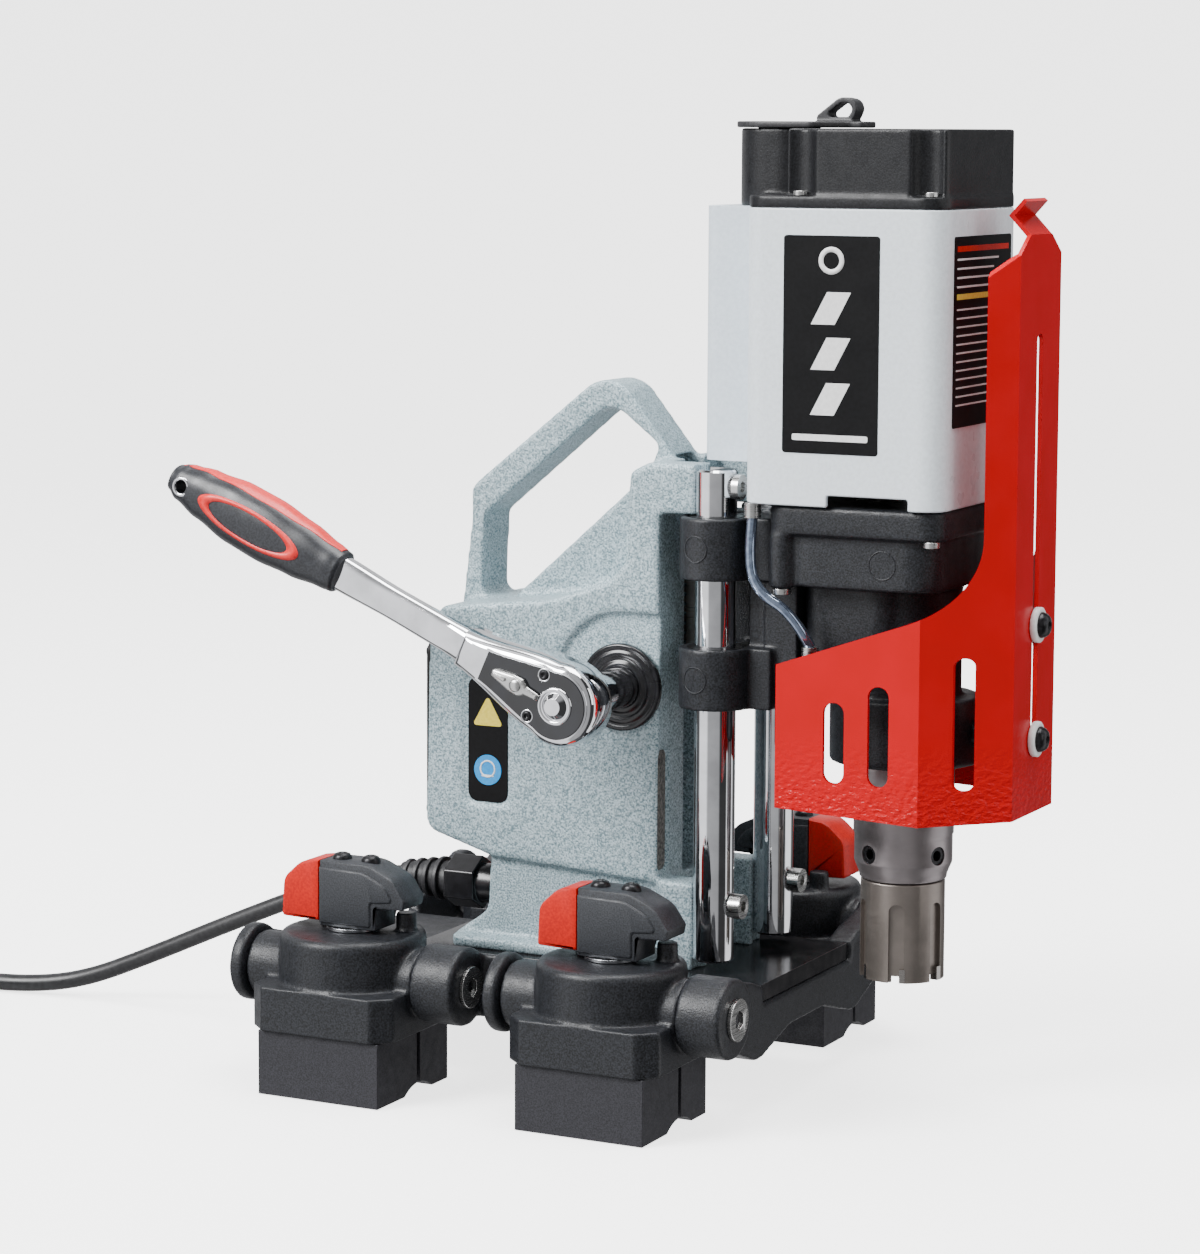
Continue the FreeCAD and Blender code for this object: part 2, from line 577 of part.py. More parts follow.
def feed_rack():
    """The rack's teeth face -X. A gap stands at the feed axis when the unit is at its top."""
    step = math.pi * d.feed_module
    line = d.feed_x + d.feed_module * d.feed_teeth / 2
    tip, root = line - ADDENDUM * d.feed_module, line + DEDENDUM * d.feed_module
    lean = math.tan(PRESSURE)
    half = step / 4 - d.backlash / 2
    points = []
    for index in range(-2, RACK_GAPS - 1):
        middle = d.feed_z + (index + 0.5) * step
        for x, side in ((root, -1), (tip, -1), (tip, 1), (root, 1)):
            points.append((x, middle + side * (half + (x - line) * lean)))
    low = d.feed_z - 2 * step
    high = d.feed_z + (RACK_GAPS - 1) * step
    points = [(38, low), (root, low)] + points + [(root, high), (38, high)]
    node("feed_rack", prism("Rack", "XZ", [points], "-8", "16"))


def rounded_box(x_low, x_high, half, corner):
    return [(x_low, -half, corner), (x_high, -half, corner), (x_high, half, corner), (x_low, half, corner)]


SPINDLE_TEETH, IDLER_TEETH, IDLER_WHEEL_TEETH, MOTOR_TEETH = 39, 17, 33, 17
SPINDLE_MODULE, MOTOR_MODULE = 1.0, 0.8


def idler_place():
    """The idler axis: set from the spindle's and the motor's gear distances."""
    first = SPINDLE_MODULE * (SPINDLE_TEETH + IDLER_TEETH) / 2
    second = MOTOR_MODULE * (IDLER_WHEEL_TEETH + MOTOR_TEETH) / 2
    apart = d.spindle_x - d.motor_x
    along = (first ** 2 - second ** 2 + apart ** 2) / (2 * apart)
    return d.spindle_x - along, math.sqrt(first ** 2 - along ** 2)


def gearbox():
    flange = prism("Flange", "XY", [rounded_box(d.flange_rear, d.housing_front, 47, 12)], "275", "housing_low - 275")
    box = prism("GearCase", "XY", [rounded_box(93, 172, 43, 16)], "250", "25")
    lower = prism("LowerCase", "XY", [rounded_box(98, 150, 31, 14)], "197", "53")
    nose = rod("Nose", "nose_radius", "53", ("spindle_x", "0", "197"))
    ring = rod("NoseRing", "ring_radius", "32", ("spindle_x", "0", "165"))
    bosses = [rod("Boss", "6", "26", ("94.5", y, "249")) for y in ("-41", "41")]
    whole = join("GearboxRaw", flange, box, lower, nose, ring, *bosses)
    room = prism("GearRoom", "XY", [rounded_box(98, 168, 37.5, 12)], "257", "29")
    shaft = rod("ShaftRoom", "20", "95", ("spindle_x", "0", "164"))
    motor_hole = rod("MotorHole", "11", "10", ("motor_x", "0", "282"))
    node("gearbox_housing", cut("GearboxCut", whole, room, shaft, motor_hole))


def bearings():
    idler_x, idler_y = idler_place()
    rings = []
    for outer, inner, tall, x, y, low in (
            (20, 10, 12, d.spindle_x, 0, 175), (20, 10, 12, d.spindle_x, 0, 240),
            (11, 5, 7, d.motor_x, 0, 282),
            (10, 4, 4.8, idler_x, idler_y, 257), (9, 4, 4, idler_x, idler_y, 282)):
        ring = rod("Bearing", outer, tall, (x, y, low))
        rings.append(cut("BearingCut", ring, rod("BearingBore", f"{inner} + running", tall + 2, (x, y, low - 1))))
    top = cut("BearingCut", rod("Bearing", "12", "8", ("motor_x", "0", "housing_top - 12")),
              rod("BearingBore", "5 + running", "10", ("motor_x", "0", "housing_top - 13")))
    node("shaft_bearings", group("Bearings", *rings, top))


def gear_train():
    idler_x, idler_y = idler_place()
    spindle_phase = 0
    bearing = math.degrees(math.atan2(idler_y, idler_x - d.spindle_x))
    idler_phase = meshing_phase(IDLER_TEETH, SPINDLE_TEETH, spindle_phase, bearing)
    back = math.degrees(math.atan2(-idler_y, d.motor_x - idler_x))
    motor_phase = meshing_phase(MOTOR_TEETH, IDLER_WHEEL_TEETH, idler_phase, back)
    pinion = prism("IdlerPinion", "XY", [gear_points(SPINDLE_MODULE, IDLER_TEETH, idler_phase, (idler_x, idler_y))],
                   "262", "11")
    wheel = prism("IdlerWheel", "XY", [gear_points(MOTOR_MODULE, IDLER_WHEEL_TEETH, idler_phase,
                                                   (idler_x, idler_y))], "273", "8")
    node("idler_gears", join("IdlerRaw", pinion, wheel, rod("IdlerShaft", "4", "29", (idler_x, idler_y, "257"))))

    motor_gear = prism("MotorGear", "XY", [gear_points(MOTOR_MODULE, MOTOR_TEETH, motor_phase, (d.motor_x, 0))],
                       "274", "7.5")
    core = rod("Core", "23.5", "70", ("motor_x", "0", "320"))
    fan = rod("Fan", "34", "8", ("motor_x", "0", "298"))
    commutator = rod("Commutator", "14", "12", ("motor_x", "0", "397"))
    shaft = rod("MotorShaft", "5", "housing_top - 4 - 274", ("motor_x", "0", "274"))
    node("armature", join("ArmatureRaw", motor_gear, core, fan, commutator, shaft))

    band = d.arbor_radius - 0.5
    profile = [(d.shank_radius + 0.05, d.arbor_low), (20.8, d.arbor_low, 1), (21.2, 111), (band, 116.5, 3),
               (band, 129.6), (d.arbor_radius, 130.4), (d.arbor_radius, d.arbor_top),
               (10, d.arbor_top), (10, 262), (8, 262), (8, 273.2), (0, 273.2), (0, 145), (d.shank_radius + 0.05, 145)]
    arbor = spun("ArborTurned", profile, "spindle_x", "0")
    gear = prism("SpindleGear", "XY", [gear_points(SPINDLE_MODULE, SPINDLE_TEETH, spindle_phase, (d.spindle_x, 0))],
                 "262.5", "10")
    holes = [screw_hole(angle) for angle in SET_SCREW_ANGLES]
    node("spindle_arbor", cut("ArborCut", join("ArborRaw", arbor, gear), *holes))


SET_SCREW_ANGLES = (-113, -23)
SET_SCREW_HEIGHT = 121.5
FLUTES = 6
FIRST_FLUTE = -76


def screw_hole(angle, radius=4.5, start=8.0, length=20.0, name="SetHole"):
    """A cylinder that points out of the arbor at an angle in plan."""
    solid = doc.addObject("Part::Cylinder", name)
    solid.Radius = radius
    solid.Height = length
    out = V(math.cos(math.radians(angle)), math.sin(math.radians(angle)), 0)
    solid.Placement = FreeCAD.Placement(V(d.spindle_x, 0, SET_SCREW_HEIGHT) + out * start,
                                        FreeCAD.Rotation(V(0, 0, 1), out))
    return solid


def cutter():
    screws = []
    for angle in SET_SCREW_ANGLES:
        body = screw_hole(angle, 4.5, d.shank_radius, 13, "SetScrew")
        socket = screw_hole(angle, 2.4, d.shank_radius + 8.5, 6, "SetSocket")
        screws.append(cut("SetScrewCut", body, socket))
    node("arbor_set_screws", group("SetScrews", *screws))

    top = d.arbor_low - 0.5
    profile = [(d.cutter_bore, d.cutter_low), (d.cutter_radius, d.cutter_low), (d.cutter_radius, top, 1),
               (d.shank_radius, top), (d.shank_radius, 140), (d.pilot_radius + 0.05, 140),
               (d.pilot_radius + 0.05, 96), (d.cutter_bore, 92)]
    shell = spun("CutterTurned", profile, "spindle_x", "0")
    flutes = []
    floor = V(d.spindle_x, 0, d.cutter_low - 1)
    for index in range(FLUTES):
        turn = FreeCAD.Rotation(V(0, 0, 1), 360 / FLUTES * index + FIRST_FLUTE)
        flute = doc.addObject("Part::Box", "Flute")
        flute.Length, flute.Width, flute.Height = 6, 7.6, 35.2
        flute.Placement = FreeCAD.Placement(floor + turn.multVec(V(d.cutter_radius - 2.2, -3.8, 0)), turn)
        top_round = doc.addObject("Part::Cylinder", "FluteEnd")
        top_round.Radius, top_round.Height = 3.8, 6
        top_round.Placement = FreeCAD.Placement(floor + turn.multVec(V(d.cutter_radius - 2.2, 0, 35.2)),
                                                turn.multiply(TURN["x"]))
        gullet = doc.addObject("Part::Box", "Gullet")
        gullet.Length, gullet.Width, gullet.Height = 8, 4, 4
        gullet.Placement = FreeCAD.Placement(floor + turn.multVec(V(d.cutter_bore - 1, -2.6, 0)), turn)
        flutes += [flute, top_round, gullet]
    node("annular_cutter", cut("CutterCut", shell, *flutes))
    pin = spun("PilotTurned", [(0, 62), (d.pilot_radius, 65), (d.pilot_radius, 126), (0, 126)], "spindle_x", "0")
    node("pilot_pin", pin)


def motor():
    outer = rounded_box(d.housing_rear, d.housing_front, d.housing_half, 12)
    inner = rounded_box(d.housing_rear + d.housing_wall, d.housing_front - d.housing_wall,
                        d.housing_half - d.housing_wall, 9)
    tube = prism("HousingTube", "XY", [outer, inner], "housing_low", "housing_top - housing_low")
    notch = block("Notch", ("40.5", "housing_half * 2 + 4", "6"), ("120.5", "-housing_half - 2", "housing_low - 0.5"))
    node("motor_housing", cut("HousingCut", tube, notch))

    stator = prism("StatorBlock", "XY", [
        rounded_box(d.housing_rear + d.housing_wall, d.housing_front - d.housing_wall,
                    d.housing_half - d.housing_wall, 14), [(d.motor_x, 0, 25)]], "322", "66")
    node("field_stator", stator)

    flange = prism("CapFlange", "XY", [rounded_box(d.housing_rear, d.housing_front, d.housing_half, 12)],
                   "housing_top", "5.6")
    half = d.housing_half - 1
    main = prism("CapMain", "XY", [rounded_box(96, d.housing_front - 1, half, 9)], "housing_top",
                 "cap_top - housing_top")
    recesses = [rod("Recess", "9", "40", (x, y, "housing_top + 5.6"))
                for x in ("104", "169") for y in ("-housing_half - 1", "housing_half + 1")]
    neck = prism("CapNeck", "XY", [rounded_box(56, 100, 22, 20)], "housing_top", "cap_top - housing_top")
    whole = join("CapRaw", flange, main, neck)
    room = prism("CapRoom", "XY", [rounded_box(104, d.housing_front - 5, half - 12, 6)], "housing_top - 1", "29")
    filler = rod("FillerBore", "15", "60", ("78", "0", "housing_top - 1"))
    node("motor_cap", cut("CapCut", whole, room, filler, *recesses))

    tank = prism("TankOuter", "XY", [rounded_box(44, d.housing_rear, 23.5, 8)], "306", "housing_top - 306")
    tank_room = prism("TankRoom", "XY", [rounded_box(47, d.housing_rear - 3, 20.5, 6)], "309", "housing_top - 312")
    outlet = rod("TankOutlet", "2", "8", ("68", "-18", "302"))
    node("coolant_tank", cut("TankCut", tank, tank_room, outlet))


def housing_screws():
    solids = [down_screw("CaseScrew", "4.5", 3, ("94.5", y, "249"), 4) for y in ("-41", "41")]
    solids += [down_screw("FlangeScrew", "3.9", 3, ("170", y, "275"), 4) for y in ("-41.5", "41.5")]
    for x in ("104", "169"):
        for y in ("-housing_half + 4.5", "housing_half - 4.5"):
            solids.append(rod("CapScrew", "3.2", "2.4", (x, y, "housing_top + 5.6")))
    node("housing_screws", group("HousingScrews", *solids))


def filler_lid():
    plate = prism("LidPlate", "XY", [[(54, -23, 20), (100, -23, 6), (112, -8, 4), (120, -8, 3), (120, 8, 3),
                                      (112, 8, 4), (100, 23, 6), (54, 23, 20)]], "cap_top + gap", "3")
    plug = rod("LidPlug", "14.3", "3", ("78", "0", "cap_top + gap - 3"))
    strap = prism("LidStrap", "XZ", [
        [(90, 467, 2), (106, 479, 6), (117, 477, 5), (112, 467, 2)],
        [(97, 469.4, 1.5), (107, 476.5, 3), (114, 474.8, 3), (110, 469.4, 1.5)]], "-5", "10")
    node("filler_lid", join("LidRaw", plate, plug, strap))


HOSE_RADIUS = 2.6
HOSE_ROUTE = [(81, -45, 282), (79.5, -46.5, 262), (86, -49, 247), (103, -47, 238), (109.5, -41, 222)]


def route_wire(points):
    """Straight runs joined by tangent arcs, as large as the runs allow. Gives the path and its radii."""
    corners = [V(*point) for point in points]
    edges = []
    radii = []
    start = corners[0]
    for before, corner, after in zip(corners, corners[1:], corners[2:]):
        back = (before - corner).normalize()
        ahead = (after - corner).normalize()
        half = math.acos(max(-1, min(1, back.dot(ahead)))) / 2
        reach = 0.45 * min(before.distanceToPoint(corner), after.distanceToPoint(corner))
        radius = reach * math.tan(half)
        radii.append(radius)
        middle = corner + (back + ahead).normalize() * (radius / math.sin(half) - radius)
        edges.append(Part.LineSegment(start, corner + back * reach).toShape())
        edges.append(Part.Arc(corner + back * reach, middle, corner + ahead * reach).toShape())
        start = corner + ahead * reach
    edges.append(Part.LineSegment(start, corners[-1]).toShape())
    return Part.Wire(edges), radii


def tube(name, points, radius):
    wire, radii = route_wire(points)
    first = wire.Edges[0]
    along = first.tangentAt(first.FirstParameter)
    circle = Part.Wire(Part.Circle(V(*points[0]), along, radius).toShape())
    shape = wire.makePipeShell([circle], True, False)
    solid = doc.addObject("Part::Feature", name)
    solid.Shape = shape
    solid.Placement = FreeCAD.Placement()
    expected = math.pi * radius ** 2 * wire.Length
    print(name, "length", round(wire.Length, 1), "volume ratio", round(shape.Volume / expected, 4),
          "radii", [round(value, 1) for value in radii])
    return solid


def coolant_hose():
    node("coolant_hose", tube("Hose", HOSE_ROUTE, HOSE_RADIUS))
    top = rod("TopNipple", "4", "7", (HOSE_ROUTE[0][0], HOSE_ROUTE[0][1], "282"))
    end = HOSE_ROUTE[-1]
    low = rod("LowNipple", "4", "12", (end[0], end[1], "210"))
    elbow = rod("Elbow", "3.5", "10", (end[0], end[1], "213"), "y")
    node("hose_fittings", group("Fittings", top, join("LowFitting", low, elbow)))


GUARD_SCREW_HEIGHTS = (234, 180)


def guard():
    rear = d.guard_front - d.guard_sheet - 0.5
    posts = [rod("BracketPost", "6.5", f"{rear} - spindle_x - {inner} + 3", (f"spindle_x + {inner} - 3", "0", height), "x")
             for inner, height in zip(("nose_radius", "ring_radius"), GUARD_SCREW_HEIGHTS)]
    around = join("BracketRaw", *posts)
    keep_out = rod("BracketBore", "nose_radius", "60", ("spindle_x", "0", "197"))
    ring_out = rod("BracketRing", "ring_radius", "40", ("spindle_x", "0", "160"))
    node("guard_bracket", cut("BracketCut", around, keep_out, ring_out))

    screws = []
    for height in GUARD_SCREW_HEIGHTS:
        shank = rod("GuardShank", "3", "6", (rear, "0", height), "x")
        washer = rod("GuardWasher", "8.4", "3", (d.guard_front + 0.2, "0", height), "x")
        dome = cone("GuardDome", "6", "3.8", "4.2", (d.guard_front + 3.2, "0", height), "x")
        screws.append(join("GuardScrew", shank, washer, dome))
    node("guard_screws", group("GuardScrews", *screws))

    sheet_t = d.guard_sheet
    slope = math.radians(22.5)
    inset = sheet_t * math.tan(slope)
    outer = [(d.guard_rear, -d.guard_half), (d.guard_bend, -d.guard_half), (d.guard_front, -d.guard_panel),
             (d.guard_front, d.guard_panel), (d.guard_bend, d.guard_half), (d.guard_rear, d.guard_half)]
    inner = [(d.guard_rear, d.guard_half - sheet_t), (d.guard_bend - inset, d.guard_half - sheet_t),
             (d.guard_front - sheet_t, d.guard_panel - inset), (d.guard_front - sheet_t, -d.guard_panel + inset),
             (d.guard_bend - inset, -d.guard_half + sheet_t), (d.guard_rear, -d.guard_half + sheet_t)]
    bent = prism("GuardBent", "XY", [outer + inner], "guard_low", "290")
    side = prism("GuardSide", "XZ", [[(d.guard_rear - 5, 147.4), (d.guard_rear, 147.2), (d.guard_bend, 143.8),
                                      (d.guard_front + 9, 145), (d.guard_front + 9, 440), (194, 440),
                                      (194, 246, 40), (168, 239, 30),
                                      (d.guard_rear, 215, 7), (d.guard_rear - 5, 214.3)]], "-80", "160")
    rise = [(80, 396), (38, 396, 3), (27, 407, 4), (14, 416, 3)]
    front = prism("GuardFront", "YZ", [[(-80, 140), (80, 140), *rise, *((-at[0], *at[1:]) for at in reversed(rise))]],
                  "80", "140")
    shell = common("GuardShell", bent, side, front)
    slots = []
    bend_slot = (d.guard_bend + d.guard_front) / 2 - 0.9
    for x, half, low, high in ((128.6, 5.2, 161, 199), (150.9, 5.2, 161, 208), (bend_slot, 4.1, 160, 222)):
        corner = half - 0.1
        slots.append(prism("SideSlot", "XZ", [[(x - half, low, corner), (x + half, low, corner),
                                               (x + half, high, corner), (x - half, high, corner)]], "-80", "160"))
    slots.append(prism("FrontSlot", "YZ", [[(-3.7, 174, 3.6), (3.7, 174, 3.6), (3.7, 370, 3.6), (-3.7, 370, 3.6)]],
                       "190", "30"))
    tab = prism("GuardTab", "XZ", [[(d.guard_front, 412), (d.guard_front, 415.6), (197.6, 424.6), (203.6, 431.2),
                                    (202, 432.5), (194.8, 424.6), (d.guard_front - 2, 414.8),
                                    (d.guard_front - 2, 412)]], "-14", "28")
    node("guard_shield", join("GuardWhole", cut("GuardCut", shell, *slots), tab))


# ---------------------------------------------------------------- mains lead

COIL_CENTRE = (-436, -96)
LEAD_ROUTE = [
    (d.relief_end, 0, d.gland_z), (-158, -0.5, 80), (-196, -2, 65), (-240, -5, 46), (-284, -8, 26),
    (-322, -13, 10), (-354, -19, 4.7), (-394, -24.5, 4.6), (-424, -27, 4.6),
]
TAIL_ROUTE = [(-507, -104, 13.7), (-508, -140, 13), (-484, -181, 12.2), (-446, -191, 12.2), (-425, -191, 12.2)]
PLUG_Y = TAIL_ROUTE[-1][1]


def mains_lead():
    node("cord_lead", tube("Lead", LEAD_ROUTE, d.cord_radius))
    inner, outer = d.coil_radius - d.coil_half, d.coil_radius + d.coil_half
    ring = spun("CoilRing", [(inner, 0.2, 5), (outer, 0.2, 5), (outer, d.coil_top, 5), (inner, d.coil_top, 5)],
                *COIL_CENTRE)
    tail = tube("Tail", TAIL_ROUTE, d.cord_radius)
    node("cord_coil", join("Coil", ring, tail))

    rear = TAIL_ROUTE[-1][0]
    front = rear + 52
    body = prism("PlugShape", "XY", [[(rear, PLUG_Y - 12, 6), (rear + 18, PLUG_Y - 18, 6), (front, PLUG_Y - 18, 3),
                                      (front, PLUG_Y + 18, 3), (rear + 18, PLUG_Y + 18, 6),
                                      (rear, PLUG_Y + 12, 6)]], "0.2", "plug_top - 0.2")
    node("plug_body", body)
    pins = [block("Pin", ("18", "6", "1.8"), (front, PLUG_Y + dy, 7.3)) for dy in (-14, 8)]
    pins.append(block("EarthPin", ("20", "4", "5"), (front, PLUG_Y - 2, 15)))
    node("plug_pins", group("Pins", *pins))


def build():
    base_casting()
    base_plate()
    pivot_screws()
    body_casting()
    rear_cover()
    control_module()
    buttons()
    columns()
    column_screws()
    gland()
    for name, x, y, sign in MAGNETS:
        magnet(name, x, y, sign)
    feed()
    ratchet()
    slide_casting()
    feed_rack()
    gearbox()
    bearings()
    gear_train()
    cutter()
    motor()
    housing_screws()
    filler_lid()
    coolant_hose()
    guard()
    mains_lead()


def check_and_write():
    doc.recompute()
    for item in doc.Objects:
        if "Invalid" in item.State or "Error" in item.State:
            raise RuntimeError(f"{item.Label} failed: {item.State}")
    for item in NODES:
        if item.Shape.isNull() or not item.Shape.isValid():
            raise RuntimeError(f"{item.Label} has no valid shape")
        if not item.Shape.Solids:
            raise RuntimeError(f"{item.Label} has no solid")
    os.makedirs("parts", exist_ok=True)
    for item in NODES:
        item.Shape.exportStep(f"parts/{item.Label}.step")
    box = FreeCAD.BoundBox()
    for item in NODES:
        if not item.Label.startswith(("cord_", "plug_")):
            box.add(item.Shape.BoundBox)
    print(len(NODES), "sub-parts; box of the machine", box)


build()
check_and_write()
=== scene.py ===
import math

import bmesh
import bpy
from mathutils import Matrix, Vector


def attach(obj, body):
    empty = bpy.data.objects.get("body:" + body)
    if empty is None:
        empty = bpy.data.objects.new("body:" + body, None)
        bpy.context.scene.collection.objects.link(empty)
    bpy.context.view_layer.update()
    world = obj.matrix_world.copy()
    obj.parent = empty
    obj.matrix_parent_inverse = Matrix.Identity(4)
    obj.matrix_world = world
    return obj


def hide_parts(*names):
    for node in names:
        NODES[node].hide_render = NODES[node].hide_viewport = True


# A magnetic drill press: +X is the drill side, -Y the ratchet side, +Z is up. Lengths below are in
# millimetres and become metres in the meshes.

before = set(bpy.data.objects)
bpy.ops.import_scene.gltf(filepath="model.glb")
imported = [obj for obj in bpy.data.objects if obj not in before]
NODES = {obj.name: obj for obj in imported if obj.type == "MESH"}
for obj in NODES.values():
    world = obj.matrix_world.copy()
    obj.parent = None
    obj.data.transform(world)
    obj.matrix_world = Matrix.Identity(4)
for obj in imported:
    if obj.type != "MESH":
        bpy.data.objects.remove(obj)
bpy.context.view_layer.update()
MM = 0.001
VIEW_AZIMUTH, VIEW_ELEVATION, VIEW_ROLL = 26.76, 6.426, 0.269
CORNERS = ("front_near", "front_far", "rear_near", "rear_far")
MAGNET_X = {"front": 37.9, "rear": -102.1}
MAGNET_Y = {"near": -104.5, "far": 104.5}
SPINDLE_X = 141.4
BODY_SIDE = 41


# ---------------------------------------------------------------- camera and cords

def make_camera():
    azimuth, elevation, roll = (math.radians(angle) for angle in (VIEW_AZIMUTH, VIEW_ELEVATION, VIEW_ROLL))
    back = Vector((math.sin(azimuth) * math.cos(elevation), -math.cos(azimuth) * math.cos(elevation),
                   math.sin(elevation)))
    right = Vector((math.cos(azimuth), math.sin(azimuth), 0))
    up = back.cross(right)
    side = right * math.cos(roll) + up * math.sin(roll)
    over = up * math.cos(roll) - right * math.sin(roll)
    data = bpy.data.cameras.new("View")
    data.sensor_width = 36
    data.lens = 105.915
    data.shift_y = -0.0677
    data.clip_start = 0.05
    data.clip_end = 100
    camera = bpy.data.objects.new("View", data)
    turn = Matrix((side, over, back)).transposed().to_4x4()
    camera.matrix_world = Matrix.Translation((0.79386, -1.61789, 0.46435)) @ turn
    bpy.context.collection.objects.link(camera)
    bpy.context.scene.camera = camera


def linear(red, green, blue):
    """A linear colour from three display values of 0 to 255."""
    made = []
    for value in (red / 255, green / 255, blue / 255):
        made.append(value / 12.92 if value <= 0.04045 else ((value + 0.055) / 1.055) ** 2.4)
    return (*made, 1.0)


class Look:
    """A procedural material, built on one Principled shader."""

    def __init__(self, name, colour, roughness=0.5, metallic=0.0, **sockets):
        self.material = bpy.data.materials.new(name)
        self.material.use_nodes = True
        self.tree = self.material.node_tree
        self.shader = self.tree.nodes["Principled BSDF"]
        self.shader.inputs["Base Color"].default_value = colour
        self.shader.inputs["Roughness"].default_value = roughness
        self.shader.inputs["Metallic"].default_value = metallic
        for socket, value in sockets.items():
            self.shader.inputs[socket.replace("_", " ")].default_value = value

    def node(self, kind, **inputs):
        made = self.tree.nodes.new("ShaderNode" + kind)
        for key, value in inputs.items():
            made.inputs[key].default_value = value
        return made

    def place(self, stretch=(1, 1, 1)):
        where = self.node("TexCoord").outputs["Object"]
        if stretch == (1, 1, 1):
            return where
        mapping = self.node("Mapping", Scale=stretch)
        self.tree.links.new(where, mapping.inputs["Vector"])
        return mapping.outputs["Vector"]

    def noise(self, size, detail=2.0, stretch=(1, 1, 1)):
        """Noise whose spots are about the given size in millimetres."""
        made = self.node("TexNoise", Scale=1 / (size * MM), Detail=detail)
        self.tree.links.new(self.place(stretch), made.inputs["Vector"])
        return made.outputs[0]

    def spread(self, source, low, high, start=0.3, end=0.7):
        made = self.node("MapRange", **{"From Min": start, "From Max": end, "To Min": low, "To Max": high})
        self.tree.links.new(source, made.inputs["Value"])
        return made.outputs[0]

    def tint(self, source, first, second, start=0.35, end=0.65):
        ramp = self.node("ValToRGB")
        for element, place, colour in zip(ramp.color_ramp.elements, (start, end), (first, second)):
            element.position = place
            element.color = colour
        self.tree.links.new(source, ramp.inputs[0])
        return ramp.outputs[0]

    def paint(self, colour):
        self.tree.links.new(colour, self.shader.inputs["Base Color"])
        return self

    def rub(self, source, low, high):
        self.tree.links.new(self.spread(source, low, high), self.shader.inputs["Roughness"])
        return self

    def emboss(self, source, depth, strength=1.0):
        """Bump of the given depth in millimetres, on top of any bump before it."""
        made = self.node("Bump", Strength=strength, Distance=depth * MM)
        self.tree.links.new(source, made.inputs["Height"])
        normal = self.shader.inputs["Normal"]
        if normal.links:
            self.tree.links.new(normal.links[0].from_socket, made.inputs["Normal"])
        self.tree.links.new(made.outputs[0], normal)
        return self


def speckled(name, dark, light, size, depth, rough, metallic=0.0, strength=0.7, **sockets):
    """Paint or moulded skin with fine spots in colour, bump and gloss."""
    look = Look(name, light, rough[0], metallic, **sockets)
    spots = look.noise(size, 3.0)
    look.paint(look.tint(spots, dark, light))
    look.rub(look.noise(size * 9, 2.0), *rough)
    return look.emboss(spots, depth, strength)


def lathed(name, colour, rough, metallic=1.0, step=0.5, **sockets):
    """Turned or ground metal: fine rings along Z and a faint variation of gloss."""
    look = Look(name, colour, rough[0], metallic, **sockets)
    rings = look.noise(step, 2.0, (0.02, 0.02, 1))
    look.rub(rings, *rough)
    stain = look.noise(14, 3.0)
    look.paint(look.tint(stain, tuple(value * 0.82 for value in colour[:3]) + (1.0,), colour))
    return look.emboss(rings, 0.02, 0.35)


